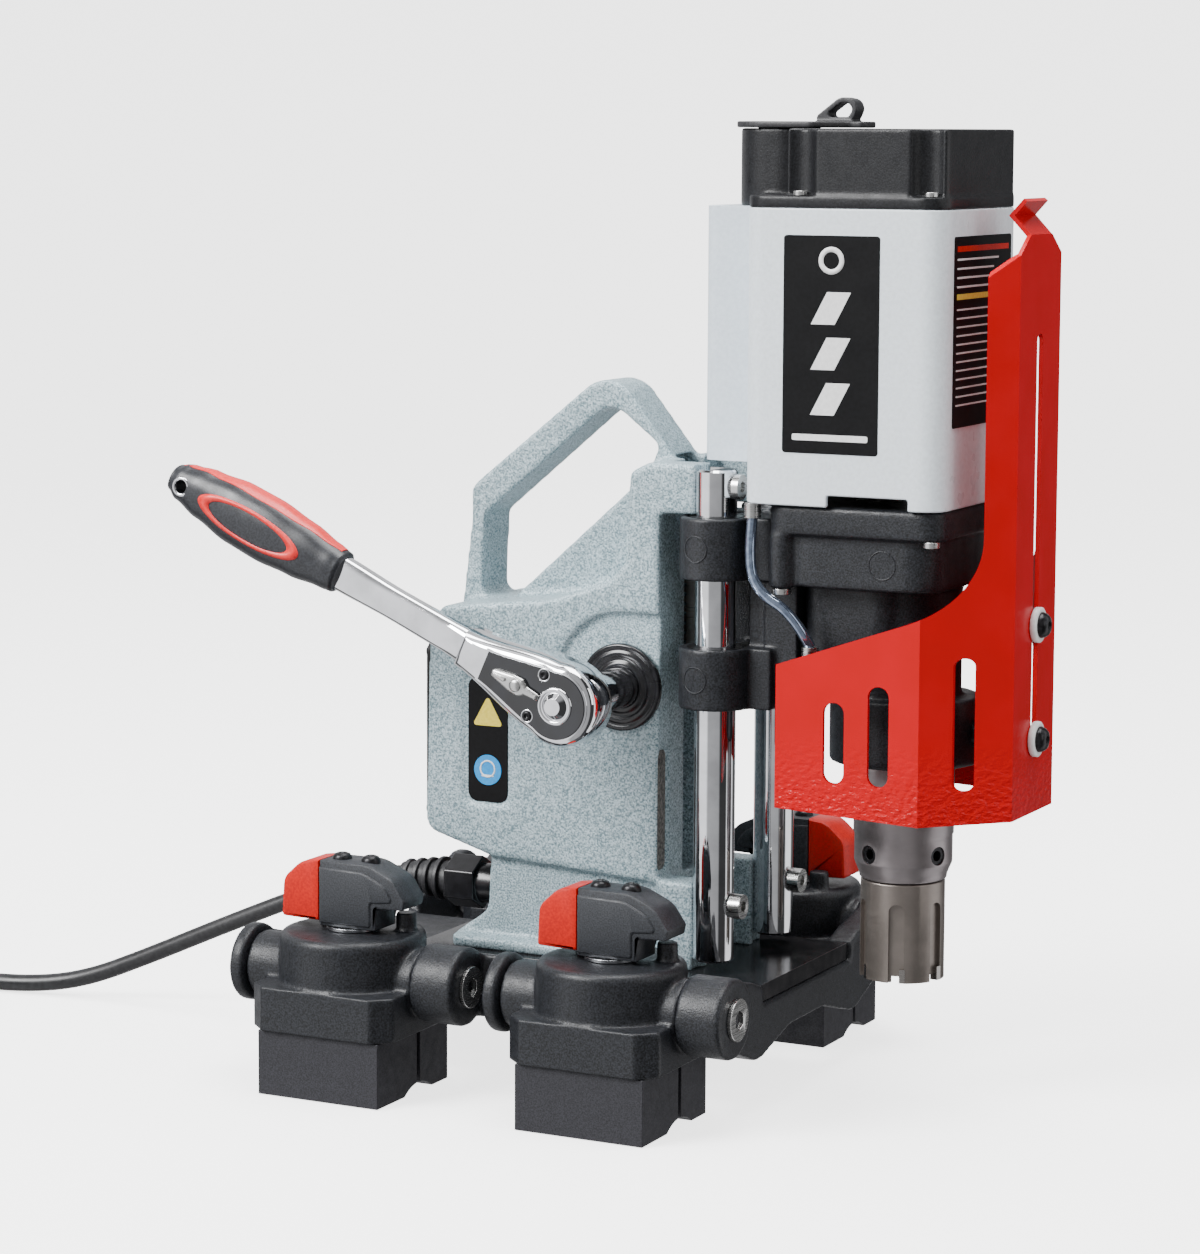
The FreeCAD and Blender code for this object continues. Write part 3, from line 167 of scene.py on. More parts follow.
LOOKS = {
    "hammered": speckled("HammeredPaint", linear(96, 120, 128), linear(188, 206, 213), 0.9, 0.4, (0.36,
                         0.48), 0.1, 0.9),
    "casting": speckled("BlackCasting", linear(10, 11, 12), linear(42, 44, 49), 0.8, 0.26, (0.34, 0.48),
                        Specular_IOR_Level=0.35),
    "pole": speckled("PoleOxide", linear(26, 26, 30), linear(48, 48, 54), 0.7, 0.06, (0.5, 0.66), 0.2),
    # Painted shade: a dark grainy paint that stands in for the shadow inside the front pocket.
    "pocket": speckled("PocketPaintedShade", linear(40, 40, 38), linear(112, 110, 104), 1.6, 0.5, (0.4, 0.55),
                       0.0, 1.0),
    "plate": speckled("GroundPlate", linear(22, 22, 25), linear(46, 45, 47), 7, 0.02, (0.14, 0.28), 0.3),
    "chrome": lathed("Chrome", linear(236, 237, 240), (0.03, 0.09), 1.0, 1.2),
    "steel": lathed("BrightSteel", linear(206, 206, 204), (0.18, 0.34), 1.0, 0.4),
    "dark_steel": speckled("BlackOxide", linear(20, 20, 22), linear(44, 44, 47), 1.5, 0.04, (0.25, 0.4),
                           0.6),
    "tool": lathed("ToolSteel", linear(140, 132, 126), (0.3, 0.46), 0.85, 0.35),
    "arbor": lathed("ArborSteel", linear(154, 147, 148), (0.3, 0.44), 0.8, 0.3),
    "carbide": lathed("Carbide", linear(168, 164, 160), (0.2, 0.3), 1.0, 0.3),
    "housing": speckled("HousingGrey", linear(218, 226, 232), linear(228, 236, 242), 2.0, 0.03, (0.26,
                        0.34)),
    "tank": speckled("TankGrey", linear(206, 218, 228), linear(216, 227, 236), 2.0, 0.03, (0.3, 0.4)),
    "plastic": speckled("BlackPlastic", linear(12, 12, 14), linear(30, 31, 34), 0.8, 0.14, (0.34, 0.46),
                        Specular_IOR_Level=0.3),
    "gloss_plastic": speckled("GlossPlastic", linear(14, 14, 16), linear(26, 26, 29), 4, 0.02, (0.16,
                              0.28)),
    "rubber": speckled("BlackRubber", linear(24, 24, 26), linear(42, 42, 45), 1.4, 0.06, (0.42, 0.58)),
    "cable": speckled("CableSkin", linear(20, 20, 22), linear(36, 36, 38), 2.4, 0.04, (0.34, 0.5)),
    "lever": speckled("LeverBlack", linear(16, 18, 21), linear(46, 49, 55), 0.7, 0.12, (0.42, 0.56)),
    "red": speckled("SignalRed", (0.42, 0.004, 0.0, 1), (0.56, 0.008, 0.001, 1), 1.2, 0.05, (0.36, 0.46),
                    Specular_IOR_Level=0.3),
    "grip": speckled("GripBlack", linear(24, 25, 28), linear(44, 46, 51), 1.0, 0.05, (0.3, 0.44)),
    "grip_red": speckled("GripRed", linear(214, 34, 34), linear(230, 52, 48), 1.6, 0.03, (0.3, 0.42)),
    "cover": speckled("DarkMirror", linear(8, 9, 12), linear(18, 20, 26), 9, 0.02, (0.05, 0.12), 0.3,
                      Coat_Weight=0.8),
    "sticker": speckled("StickerBlack", linear(8, 8, 9), linear(13, 13, 15), 2.0, 0.02, (0.34, 0.44),
                        Specular_IOR_Level=0.15),
    "white": speckled("StickerWhite", linear(222, 222, 222), linear(234, 234, 234), 2.0, 0.02, (0.36,
                      0.46)),
    "yellow": speckled("StickerYellow", linear(228, 206, 70), linear(240, 220, 92), 1.5, 0.02, (0.36,
                       0.46)),
    "blue": speckled("StickerBlue", linear(14, 132, 204), linear(26, 148, 216), 1.5, 0.02, (0.34, 0.44)),
    "green": speckled("ButtonGreen", linear(20, 128, 60), linear(30, 146, 72), 2.0, 0.02, (0.2, 0.3)),
    "button_red": speckled("ButtonRed", linear(190, 18, 18), linear(206, 28, 26), 2.0, 0.02, (0.2, 0.3)),
    "circuit": speckled("Circuit", linear(16, 76, 42), linear(28, 96, 56), 3.0, 0.1, (0.3, 0.5)),
    "lamination": lathed("Lamination", linear(132, 128, 122), (0.3, 0.5), 0.9, 0.5),
    "gear": lathed("GearSteel", linear(158, 156, 152), (0.25, 0.4), 1.0, 0.6),
    "brass": lathed("Brass", linear(206, 176, 106), (0.18, 0.3), 1.0, 0.6),
    "magnet": lathed("GroundSteel", linear(180, 182, 186), (0.14, 0.28), 1.0, 0.6),
    "hose": speckled("ClearHose", linear(110, 124, 146), linear(140, 154, 176), 3.0, 0.02, (0.05, 0.1),
                     0.85,
                     Coat_Weight=0.6),
}


def guard_paint():
    """Thick gloss powder coat: smooth at the top, with runs and pits near the low edge."""
    look = Look("GuardRed", (0.5, 0.0, 0.004, 1), 0.24, 0.0, Specular_IOR_Level=0.18)
    look.paint(look.tint(look.noise(30, 2.0), (0.48, 0.0, 0.003, 1), (0.52, 0.0, 0.005, 1)))
    peel = look.noise(3.4, 2.0, (1, 1, 1.6))
    split = look.node("SeparateXYZ")
    look.tree.links.new(look.place(), split.inputs[0])
    low = look.spread(split.outputs["Z"], 1.0, 0.0, 0.15, 0.184)
    mixed = look.node("Math")
    mixed.operation = "MULTIPLY"
    look.tree.links.new(peel, mixed.inputs[0])
    look.tree.links.new(low, mixed.inputs[1])
    look.emboss(mixed.outputs[0], 1.6, 0.8)
    look.rub(look.noise(12.0), 0.22, 0.27)
    return look


LOOKS["guard"] = guard_paint()


# ---------------------------------------------------------------- mesh tools

def add(name, mesh, body, slot, look, *replaced):
    """Makes a mesh or bmesh into a piece that rides on a body and stands for the given nodes."""
    if isinstance(mesh, bmesh.types.BMesh):
        made = bpy.data.meshes.new(name)
        bmesh.ops.recalc_face_normals(mesh, faces=mesh.faces)
        mesh.to_mesh(made)
        mesh.free()
        mesh = made
    thing = bpy.data.objects.new(name, mesh)
    bpy.context.collection.objects.link(thing)
    mesh.materials.clear()
    mesh.materials.append(LOOKS[look].material)
    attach(thing, body)
    if replaced:
        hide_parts(*replaced)
    return thing


def crease(mesh, limit=34):
    """Smooth shading, broken at edges sharper than the limit in degrees."""
    for face in mesh.faces:
        face.smooth = True
    for edge in mesh.edges:
        edge.smooth = len(edge.link_faces) == 2 and edge.calc_face_angle(0) < math.radians(limit)
    return mesh


def bridge(mesh, low, high):
    """Faces between two rings with the same number of points."""
    for index in range(len(low)):
        after = (index + 1) % len(low)
        mesh.faces.new((low[index], low[after], high[after], high[index]))


def split_ends(mesh):
    """Cuts faces of more than four sides into triangles."""
    bmesh.ops.triangulate(mesh, faces=[face for face in mesh.faces if len(face.verts) > 4])


def full_turn(count):
    """Evenly spaced angles round a whole turn."""
    return [2 * math.pi * step / count for step in range(count)]


def welded(node):
    mesh = bmesh.new()
    mesh.from_mesh(NODES[node].data)
    bmesh.ops.remove_doubles(mesh, verts=mesh.verts, dist=2e-6)
    return mesh


def settle(thing):
    """Turns an object's modifiers into its mesh."""
    shown = thing.evaluated_get(bpy.context.evaluated_depsgraph_get())
    mesh = bpy.data.meshes.new_from_object(shown)
    thing.modifiers.clear()
    thing.data = mesh
    return thing


def carve(thing, *cutters):
    """Takes bmesh solids away from a piece."""
    for cutter in cutters:
        mesh = bpy.data.meshes.new("Cutter")
        bmesh.ops.recalc_face_normals(cutter, faces=cutter.faces)
        cutter.to_mesh(mesh)
        cutter.free()
        tool = bpy.data.objects.new("Cutter", mesh)
        bpy.context.collection.objects.link(tool)
        cut = thing.modifiers.new("Cut", "BOOLEAN")
        cut.object = tool
        cut.operation = "DIFFERENCE"
        cut.solver = "EXACT"
        settle(thing)
        bpy.data.objects.remove(tool)
    return thing


def dress(node, body, slot, look, bevel=0.4, name=None):
    """A node's own shape, with its sharp edges broken by a small bevel."""
    mesh = welded(node)
    bmesh.ops.dissolve_limit(mesh, angle_limit=math.radians(0.6), verts=mesh.verts, edges=mesh.edges)
    thing = add(name or node + "_finish", crease(mesh), body, slot, look, node)
    if bevel:
        edge = thing.modifiers.new("Edges", "BEVEL")
        edge.width = bevel * MM
        edge.segments = 2
        edge.limit_method = "ANGLE"
        edge.angle_limit = math.radians(34)
        edge.use_clamp_overlap = True
        edge.harden_normals = True
        edge.miter_outer = "MITER_ARC"
    return thing


def cast(node, body, slot, look, voxel, rounds, cutters=()):
    """A node's own shape with the soft edges and faint unevenness of a casting."""
    thing = add(node + "_cast", welded(node), body, slot, look, node)
    carve(thing, *cutters)
    remesh = thing.modifiers.new("Skin", "REMESH")
    remesh.mode = "VOXEL"
    remesh.voxel_size = voxel * MM
    remesh.use_smooth_shade = True
    smooth = thing.modifiers.new("Soft", "SMOOTH")
    smooth.factor = 0.5
    smooth.iterations = rounds
    return settle(thing)


def rounded(points, steps=6):
    """A closed outline from corners. A third number is a corner's radius."""
    made = []
    for index, point in enumerate(points):
        corner = Vector(point[:2])
        if len(point) == 2:
            made.append(corner)
            continue
        before = (Vector(points[index - 1][:2]) - corner).normalized()
        after = (Vector(points[(index + 1) % len(points)][:2]) - corner).normalized()
        half = math.acos(max(-1.0, min(1.0, before.dot(after)))) / 2
        reach = point[2] / math.tan(half)
        centre = corner + (before + after).normalized() * (point[2] / math.sin(half))
        first = corner + before * reach - centre
        last = corner + after * reach - centre
        swing = first.angle_signed(last)
        for step in range(steps + 1):
            made.append(centre + Matrix.Rotation(-swing * step / steps, 2) @ first)
    return made


def rectangle(left, low, right, high, radius, steps=6):
    """A closed rectangular outline with rounded corners."""
    corners = ((left, low), (right, low), (right, high), (left, high))
    return rounded([(*corner, radius) for corner in corners], steps)


def oval(u, v, across, tall, count=32):
    return [Vector((u + across * math.cos(angle), v + tall * math.sin(angle))) for angle in full_turn(count)]


def inset(points, amount):
    """The outline moved inwards along its corners' bisectors. The outline runs anticlockwise."""
    made = []
    for index, point in enumerate(points):
        ahead = (points[(index + 1) % len(points)] - point).normalized()
        behind = (point - points[index - 1]).normalized()
        normal = Vector((-(ahead.y + behind.y), ahead.x + behind.x))
        size = normal.length
        made.append(point + normal / size * (amount / max(size / 2, 0.5)) if size > 1e-6 else point.copy())
    return made


def anticlockwise(points):
    area = sum(a.x * b.y - b.x * a.y for a, b in zip(points, points[1:] + points[:1]))
    return points if area > 0 else points[::-1]


def layered(points, layers, place):
    """A closed solid from one outline, as (inset, height) layers. The matrix puts it in place."""
    points = anticlockwise([Vector(point) for point in points])
    mesh = bmesh.new()
    rings = []
    for amount, height in layers:
        ring = inset(points, amount) if amount else points
        rings.append([mesh.verts.new(place @ Vector((point.x, point.y, height)) * MM) for point in ring])
    for low, high in zip(rings, rings[1:]):
        bridge(mesh, low, high)
    mesh.faces.new(rings[0][::-1])
    mesh.faces.new(rings[-1])
    split_ends(mesh)
    return crease(mesh)


def facing(axis, origin=(0, 0, 0)):
    """Puts an outline's plane in view of an axis: heights run along it from the origin."""
    turns = {
        "-y": Matrix(((1, 0, 0), (0, 0, -1), (0, 1, 0))),
        "+y": Matrix(((-1, 0, 0), (0, 0, 1), (0, 1, 0))),
        "+x": Matrix(((0, 0, 1), (1, 0, 0), (0, 1, 0))),
        "-x": Matrix(((0, 0, -1), (-1, 0, 0), (0, 1, 0))),
    }
    return Matrix.Translation(origin) @ turns[axis].to_4x4()


def plate(points, thick, place, edge=0.15):
    """A thin flat piece with a broken edge."""
    return layered(points, [(0, 0), (0, thick - edge), (edge, thick)], place)


def turned(profile, place, steps=40):
    """A closed turned solid from (radius, height) points. A third item makes that ring a hexagon."""
    mesh = bmesh.new()
    rings = []
    for point in profile:
        radius, height = point[:2]
        if radius == 0:
            rings.append([mesh.verts.new(place @ Vector((0, 0, height)) * MM)])
            continue
        ring = []
        for angle in full_turn(steps):
            reach = radius
            if len(point) > 2:
                reach = radius / math.cos((angle + math.pi / 6) % (math.pi / 3) - math.pi / 6)
            spot = Vector((reach * math.cos(angle), reach * math.sin(angle), height))
            ring.append(mesh.verts.new(place @ spot * MM))
        rings.append(ring)
    closed = profile[0][0] != 0
    pairs = list(zip(rings, rings[1:])) + ([(rings[-1], rings[0])] if closed else [])
    for low, high in pairs:
        if len(low) > 1 and len(high) > 1:
            bridge(mesh, low, high)
            continue
        for index in range(steps):
            after = (index + 1) % steps
            if len(low) == 1:
                mesh.faces.new((low[0], high[after], high[index]))
            else:
                mesh.faces.new((low[index], low[after], high[0]))
    return crease(mesh)


def merged(*meshes):
    """Several bmeshes as one."""
    whole = bmesh.new()
    for mesh in meshes:
        part = bpy.data.meshes.new("Part")
        mesh.to_mesh(part)
        mesh.free()
        whole.from_mesh(part)
        bpy.data.meshes.remove(part)
    return whole


def loft(sections):
    """A closed solid through rings of points, each with the same number."""
    mesh = bmesh.new()
    rings = [[mesh.verts.new(point * MM) for point in ring] for ring in sections]
    for low, high in zip(rings, rings[1:]):
        bridge(mesh, low, high)
    for ring in (rings[0][::-1], rings[-1]):
        mesh.faces.new(ring)
    split_ends(mesh)
    return crease(mesh, 50)


def slab(low, high):
    return layered([(low[0], low[1]), (high[0], low[1]), (high[0], high[1]), (low[0], high[1])],
                   [(0, low[2]), (0, high[2])], Matrix.Identity(4))


def between(table, at):
    """Smooth values between the rows of a table whose first column rises."""
    for before, after in zip(table, table[1:]):
        if at <= after[0]:
            part = max(0.0, min(1.0, (at - before[0]) / (after[0] - before[0])))
            part = part * part * (3 - 2 * part)
            return [a + (b - a) * part for a, b in zip(before[1:], after[1:])]
    return list(table[-1][1:])


# ---------------------------------------------------------------- mains lead

CABLE = 9.0
ON_FLOOR = 4.6
LEAD = [
    (-134, 0, 83), (-158, -0.5, 80), (-196, -2, 65), (-240, -5, 46), (-284, -8, 26),
    (-322, -13, 10), (-354, -19, 4.7), (-394, -24.5, 4.6),
]
TAIL = [(-508, -140, 13), (-484, -181, 12.2), (-446, -191, 12.2), (-425, -191, 12.2)]
COIL_CENTRE = (-436, -96)
COIL_OUTER, COIL_INNER = 70.0, 34.0
COIL_START, COIL_STEPS = 88, 16
COIL_TURNS = 8.3
CROSSOVER = 0.3


def coil_points():
    """Two flat layers: the low one winds inwards, the high one outwards."""
    made = []
    drop = COIL_OUTER - COIL_INNER
    turns = drop / CABLE
    for step in range(int(COIL_TURNS * COIL_STEPS) + 1):
        turn = step / COIL_STEPS
        if turn <= turns:
            radius, height = COIL_OUTER - CABLE * turn, ON_FLOOR
        elif turn <= turns + CROSSOVER:
            radius, height = COIL_INNER, ON_FLOOR + CABLE * (turn - turns) / CROSSOVER
        else:
            radius, height = COIL_INNER + CABLE * (turn - turns - CROSSOVER), ON_FLOOR + CABLE
        angle = math.radians(COIL_START + 360 * turn)
        radius /= math.cos(math.pi / COIL_STEPS)
        made.append((COIL_CENTRE[0] + radius * math.cos(angle),
                     COIL_CENTRE[1] + radius * math.sin(angle), height))
    return made


def strand(name, points, radius, body, slot, look, *replaced):
    """A smooth tube along one NURBS spline."""
    data = bpy.data.curves.new(name, "CURVE")
    data.dimensions = "3D"
    data.bevel_depth = radius * MM
    data.bevel_resolution = 5
    data.resolution_u = 8
    data.use_fill_caps = True
    spline = data.splines.new("NURBS")
    spline.points.add(len(points) - 1)
    for control, point in zip(spline.points, points):
        control.co = (*(value * MM for value in point), 1.0)
    spline.order_u = 3
    spline.use_endpoint_u = True
    thing = bpy.data.objects.new(name, data)
    bpy.context.collection.objects.link(thing)
    data.materials.append(LOOKS[look].material)
    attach(thing, body)
    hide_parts(*replaced)
    return thing


def plug():
    x, y, _ = TAIL[-1]
    outline = rounded([(x, y - 8, 3), (x + 12, y - 10, 8), (x + 22, y - 18, 6), (x + 49, y - 18, 4),
                       (x + 49, y + 18, 4), (x + 22, y + 18, 6), (x + 12, y + 10, 8), (x, y + 8, 3)])
    body = layered(outline, [(3, 0.3), (1, 1), (0, 3), (0, 21), (1, 23.2), (3.2, 24)], Matrix.Identity(4))
    face = layered(rounded([(y - 17.5, 1.5, 4), (y + 17.5, 1.5, 4), (y + 17.5, 23, 6), (y - 17.5, 23, 6)]),
                   [(0, x + 48), (0, x + 51.4), (0.5, x + 52)], facing("+x"))
    ribs = [slab((x + 26 + 4 * index, y - 18.4, 5), (x + 27.6 + 4 * index, y + 18.4, 19))
            for index in range(5)]
    grip = add("plug_moulding", merged(body, face, *ribs), "root", "black_rubber", "rubber", "plug_body")
    pins = dress("plug_pins", "root", "brass_pins", "brass", 0.4, "plug_contacts")
    return grip, pins


def coil_tie():
    """A soft band round the coil's turns, at the side away from the plug."""
    angle = math.radians(20)
    out = Vector((math.cos(angle), math.sin(angle), 0))
    centre = Vector((*COIL_CENTRE, 9.2)) + out * 52
    turn = Matrix(((out.x, 0, -out.y), (out.y, 0, out.x), (0, 1, 0))).to_4x4()
    place = Matrix.Translation(centre) @ turn
    outer = anticlockwise(rectangle(-23.9, -9.1, 23.9, 9.9, 4, 5))
    inner = inset(outer, 0.8)
    mesh = bmesh.new()
    rings = []
    for ring, height in ((outer, -6), (outer, 6), (inner, 6), (inner, -6)):
        rings.append([mesh.verts.new(place @ Vector((point.x, point.y, height)) * MM) for point in ring])
    for low, high in zip(rings, rings[1:] + rings[:1]):
        bridge(mesh, low, high)
    return add("coil_tie", crease(mesh), "root", "black_rubber", "rubber")


def mains_lead():
    grip, pins = plug()
    tie = coil_tie()
    lead = strand("mains_cable", LEAD + coil_points() + TAIL, CABLE / 2, "root", "cable", "cable",
                  "cord_lead", "cord_coil")


HOSE = [(81, -45, 282), (79.5, -46.5, 262), (86, -49, 247), (103, -47, 238), (109.5, -41, 222)]


def coolant_hose():
    hose = strand("feed_hose", HOSE, 2.6, "drill_unit", "clear_hose", "hose", "coolant_hose")
    dress("hose_fittings", "drill_unit", "screw_steel", "steel", 0.3)


# ---------------------------------------------------------------- body

FEED_X, FEED_Z = 11.0, 196.0
HUB_REACH, HUB_DEPTH = 36, 3.4
CLEAR_SIDE = 46
LABEL_FACE = -39.8
COVER_BACK = -100.0
BUTTON_Y, BUTTON_Z = 16, 182


def hub_recess():
    """A shallow scoop round the feed hub: deep along its top and left edge, fading out below."""
    angles = [math.radians(angle) for angle in range(90, 236, 5)]
    outline = [Vector((FEED_X + HUB_REACH * math.cos(angle), FEED_Z + HUB_REACH * math.sin(angle)))
               for angle in angles]
    outline += [Vector((34, 163)), Vector((34, FEED_Z + HUB_REACH))]
    mesh = bmesh.new()
    outer, inner = [], []
    for point in outline:
        depth = max(-0.3, min(1.0, (point.y - 172) / 40)) * HUB_DEPTH
        outer.append(mesh.verts.new(Vector((point.x, -CLEAR_SIDE, point.y)) * MM))
        inner.append(mesh.verts.new(Vector((point.x, -BODY_SIDE + depth, point.y)) * MM))
    bridge(mesh, outer, inner)
    mesh.faces.new(outer[::-1])
    mesh.faces.new(inner)
    split_ends(mesh)
    return mesh


def label_recess():
    return layered(rectangle(-77.5, 130.5, -49.5, 197.5, 6),
                   [(1.2, -LABEL_FACE), (0, BODY_SIDE), (0, CLEAR_SIDE)], facing("-y"))


def front_pocket():
    return layered(rectangle(-39, 106, -28, 166, 4), [(0.6, 27.4), (0, 28.2), (0, 33)], facing("+x"))


def body():
    cast("body_casting", "root", "hammered_paint", "hammered", 1.25, 7,
         (hub_recess(), label_recess(), front_pocket()))
    side_label()
    # A thin dark sheet laid in the front pocket: painted shade for the pocket's shadow, with a grainy
    # speckle.
    shade_sheet = layered(rectangle(-38.6, 106.4, -28.4, 165.6, 3.8), [(0, 26), (0, 28.2), (0.5, 28.6)],
                    facing("+x"))
    add("pocket_shade_sheet", shade_sheet, "root", "black_casting", "pocket")
    dress("rear_cover", "root", "black_plastic", "plastic", 0.8)
    cover_details()
    dress("control_module", "root", "circuit", "circuit", 0.4)
    dress("cable_gland", "root", "black_plastic", "gloss_plastic", 0.7)
    dress("strain_relief", "root", "black_rubber", "rubber", 0.6)
    for node in ("column_near", "column_far"):
        dress(node, "root", "chrome", "chrome", 0)
    dress("column_screws", "root", "screw_steel", "steel", 0.35)


def side_label():
    """A plain label in its recess: a disc and a triangle, with no lettering."""
    label = plate(rectangle(-74, 133, -52, 195, 5), 0.5, facing("-y", (0, LABEL_FACE, 0)))
    add("side_label", label, "root", "black_plastic", "sticker")
    raised = facing("-y", (0, -40.25, 0))
    add("label_disc", plate(oval(-63, 149, 7.6, 7.6), 0.25, raised, 0.05), "root", "red_button", "blue")
    ring = turned([(3.6, 0), (4.4, 0), (4.4, 0.16), (3.6, 0.16)], facing("-y", (-63, -40.45, 149.5)), 24)
    bar = plate(rectangle(-66.4, 145.6, -59.6, 146.6, 0.5, 3), 0.12, facing("-y", (0, -40.46, 0)), 0.03)
    add("label_disc_mark", merged(ring, bar), "root", "housing_grey", "white")
    corners = rounded([(-71.5, 171, 1.2), (-54.5, 171, 1.2), (-63, 186, 1.2)], 4)
    add("label_triangle", plate(corners, 0.25, raised, 0.05), "root", "brass_pins", "yellow")


def cover_details():
    """Corner screws and a rating panel on the rear cover, and shaped push buttons."""
    screws = []
    for y in (-30.5, 30.5):
        for z in (125.5, 204.5):
            profile = [(0, 1.2), (1.3, 1.2, 6), (1.3, 2.0, 6), (2.4, 2.0), (3.0, 1.4), (3.2, 0), (0, 0)]
            screws.append(turned(profile, facing("-x", (COVER_BACK, y, z)), 24))
    add("cover_screws", merged(*screws), "root", "screw_steel", "dark_steel")
    panel = plate(rectangle(-26, 128, 26, 164, 3), 0.5, facing("-x", (COVER_BACK, 0, 0)))
    add("cover_panel", panel, "root", "black_plastic", "sticker")
    bars = [plate(rectangle(-20, 134 + 6 * row, -20 + wide, 136 + 6 * row, 0.6, 3), 0.2,
                  facing("-x", (COVER_BACK - 0.45, 0, 0)), 0.05) for row, wide in enumerate((34, 40, 26, 38))]
    add("cover_panel_bars", merged(*bars), "root", "housing_grey", "white")
    collars = [turned([(9.4, 0), (12.4, 0), (12.4, 1.6), (11.6, 2.4), (10, 2.4), (9.4, 1.8)],
                      facing("-x", (COVER_BACK, y, BUTTON_Z))) for y in (-BUTTON_Y, BUTTON_Y)]
    add("button_collars", merged(*collars), "root", "chrome", "chrome")
    for body_name, y, look, slot in (("start", -BUTTON_Y, "green", "green_button"),
                                     ("stop", BUTTON_Y, "button_red", "red_button")):
        place = facing("-x", (COVER_BACK, y, BUTTON_Z))
        cap = turned([(0, -4), (9, -4), (9, 5.0), (8.4, 5.8), (7.0, 6.0), (6.2, 5.3), (0, 5.0)], place)
        stem = turned([(0, -12), (5, -12), (5, -4), (0, -4)], place, 24)
        add(body_name + "_cap", merged(cap, stem), body_name, slot, look, body_name + "_button")


def feed():
    rings = []
    profile = [(9.06, -16), (13.6, -16), (14, -15.6), (14, -0.1), (21.25, -0.1), (21.25, 2.2), (20.6, 2.9),
               (19.4, 3.0), (18.9, 2.3), (17.8, 2.3), (17.3, 3.0), (15.2, 3.0), (14.6, 1.9), (12.8, 1.9),
               (12.3, 2.8), (9.06, 2.8)]
    for axis, y in (("-y", -BODY_SIDE), ("+y", BODY_SIDE)):
        rings.append(turned(profile, facing(axis, (FEED_X, y, FEED_Z)), 64))
    add("feed_bush_rings", merged(*rings), "root", "black_plastic", "gloss_plastic", "feed_bushes")
    dress("feed_shaft", "feed", "tool_steel", "chrome", 0.5)


# ---------------------------------------------------------------- base

def base():
    cast("base_casting", "root", "black_casting", "casting", 1.4, 6)
    dress("base_plate", "root", "ground_plate", "plate", 0.5)
    dress("pivot_screws", "root", "screw_steel", "steel", 0.5)
    sockets = []
    for x in MAGNET_X.values():
        for y in MAGNET_Y.values():
            place = facing("+x", (x + 64.8, y, 56))
            sockets.append(turned([(0, 0), (4.5, 0, 6), (4.5, 0.5, 6), (0, 0.5)], place, 36))
    add("pivot_sockets", merged(*sockets), "root", "black_screw", "dark_steel")
    for name in CORNERS:
        magnet(name)


LEVER_SPLIT = -13


def magnet(name):
    end, row = name.split("_")
    x, y = MAGNET_X[end], MAGNET_Y[row]
    sign = 1 if row == "near" else -1
    body_name = "magnet_" + name
    cast(f"magnet_housing_{name}", body_name, "black_casting", "casting", 1.0, 5)
    dress(f"pole_shoes_{name}", body_name, "pole_steel", "pole", 0.35)
    lever_body = "lever_" + name
    dress(f"rotor_{name}", lever_body, "magnet_metal", "magnet", 0.3)
    lever(name, x, y, sign, lever_body)
    stop_post(name, x, y, sign, body_name)


def stop_post(name, x, y, sign, body_name):
    """A shouldered pin on the drum's top that the lever's nose stops over."""
    place = Matrix.Translation((x + 25 * sign, y + 8 * sign, 78))
    profile = [(0, -1), (5.6, -1), (5.6, 0.8), (4.8, 1.6), (4.6, 8.0), (3.9, 8.8), (0, 8.8)]
    add(f"stop_post_{name}", turned(profile, place, 32), body_name, "black_casting", "casting")


def lever(name, x, y, sign, body_name):
    place = Matrix.Translation((x, y, 0)) @ Matrix.Rotation(0 if sign > 0 else math.pi, 4, "Z") @ facing("-y")
    full = rounded([(LEVER_SPLIT, 80, 0.8), (18, 80, 1.0), (18, 91, 1.0), (33, 91.4, 1.2), (34, 96, 2),
                    (27.5, 105.5, 12), (13, 112, 16), (LEVER_SPLIT, 112)])
    soft = [(1.2, -10.2), (0.35, -9.9), (0, -9.2), (0, 9.2), (0.35, 9.9), (1.2, 10.2)]
    core = rounded([(LEVER_SPLIT + 0.02, 81.5, 1), (15.5, 81.5, 1.5), (15.5, 93.5, 1.5), (28.5, 94.6, 2),
                    (23.5, 102.6, 10), (11.5, 108.2, 14), (LEVER_SPLIT + 0.02, 108.8)])
    raised = [(1.0, -11.0), (0.4, -10.8), (0, -10.3), (0, 10.3), (0.4, 10.8), (1.0, 11.0)]
    hub = turned([(0, 79.2), (9.5, 79.2), (9.5, 81), (0, 81)], Matrix.Translation((x, y, 0)), 40)
    bar = merged(layered(full, soft, place), layered(core, raised, place), hub)
    add(f"lever_bar_{name}", bar, body_name, "lever_black", "lever", f"lever_{name}")
    tip = rounded([(-34, 83, 1.6), (LEVER_SPLIT, 82.4, 0.6), (LEVER_SPLIT, 112.2), (-23, 111, 12),
                   (-33, 102, 8)])
    blunt = [(1.6, -11), (0.5, -10.6), (0, -9.6), (0, 9.6), (0.5, 10.6), (1.6, 11)]
    add(f"lever_tip_{name}", layered(tip, blunt, place), body_name, "guard_red", "red")
    profile = [(0, 1.6), (1.7, 1.6, 6), (1.7, 3.6, 6), (2.4, 3.6), (3.8, 3.0), (4.6, 1.8), (4.8, 0.6),
               (4.8, -0.6), (0, -0.6)]
    screws = [turned(profile, Matrix.Translation((x + along * sign, y, 111.2)), 36) for along in (-6, 10)]
    add(f"lever_screws_{name}", merged(*screws), body_name, "black_screw", "dark_steel")


# ---------------------------------------------------------------- ratchet

RATCHET_ANGLE = math.radians(24.1)
HANDLE = (Matrix.Translation((FEED_X, 0, FEED_Z)) @ Matrix.Rotation(RATCHET_ANGLE, 4, "Y"))
HEAD_BACK = -89.0
GRIP_Y = -100.0
GRIP_START, GRIP_LENGTH = 132.5, 104.5
EYELET_REACH = 227
MARK_STEPS = 56


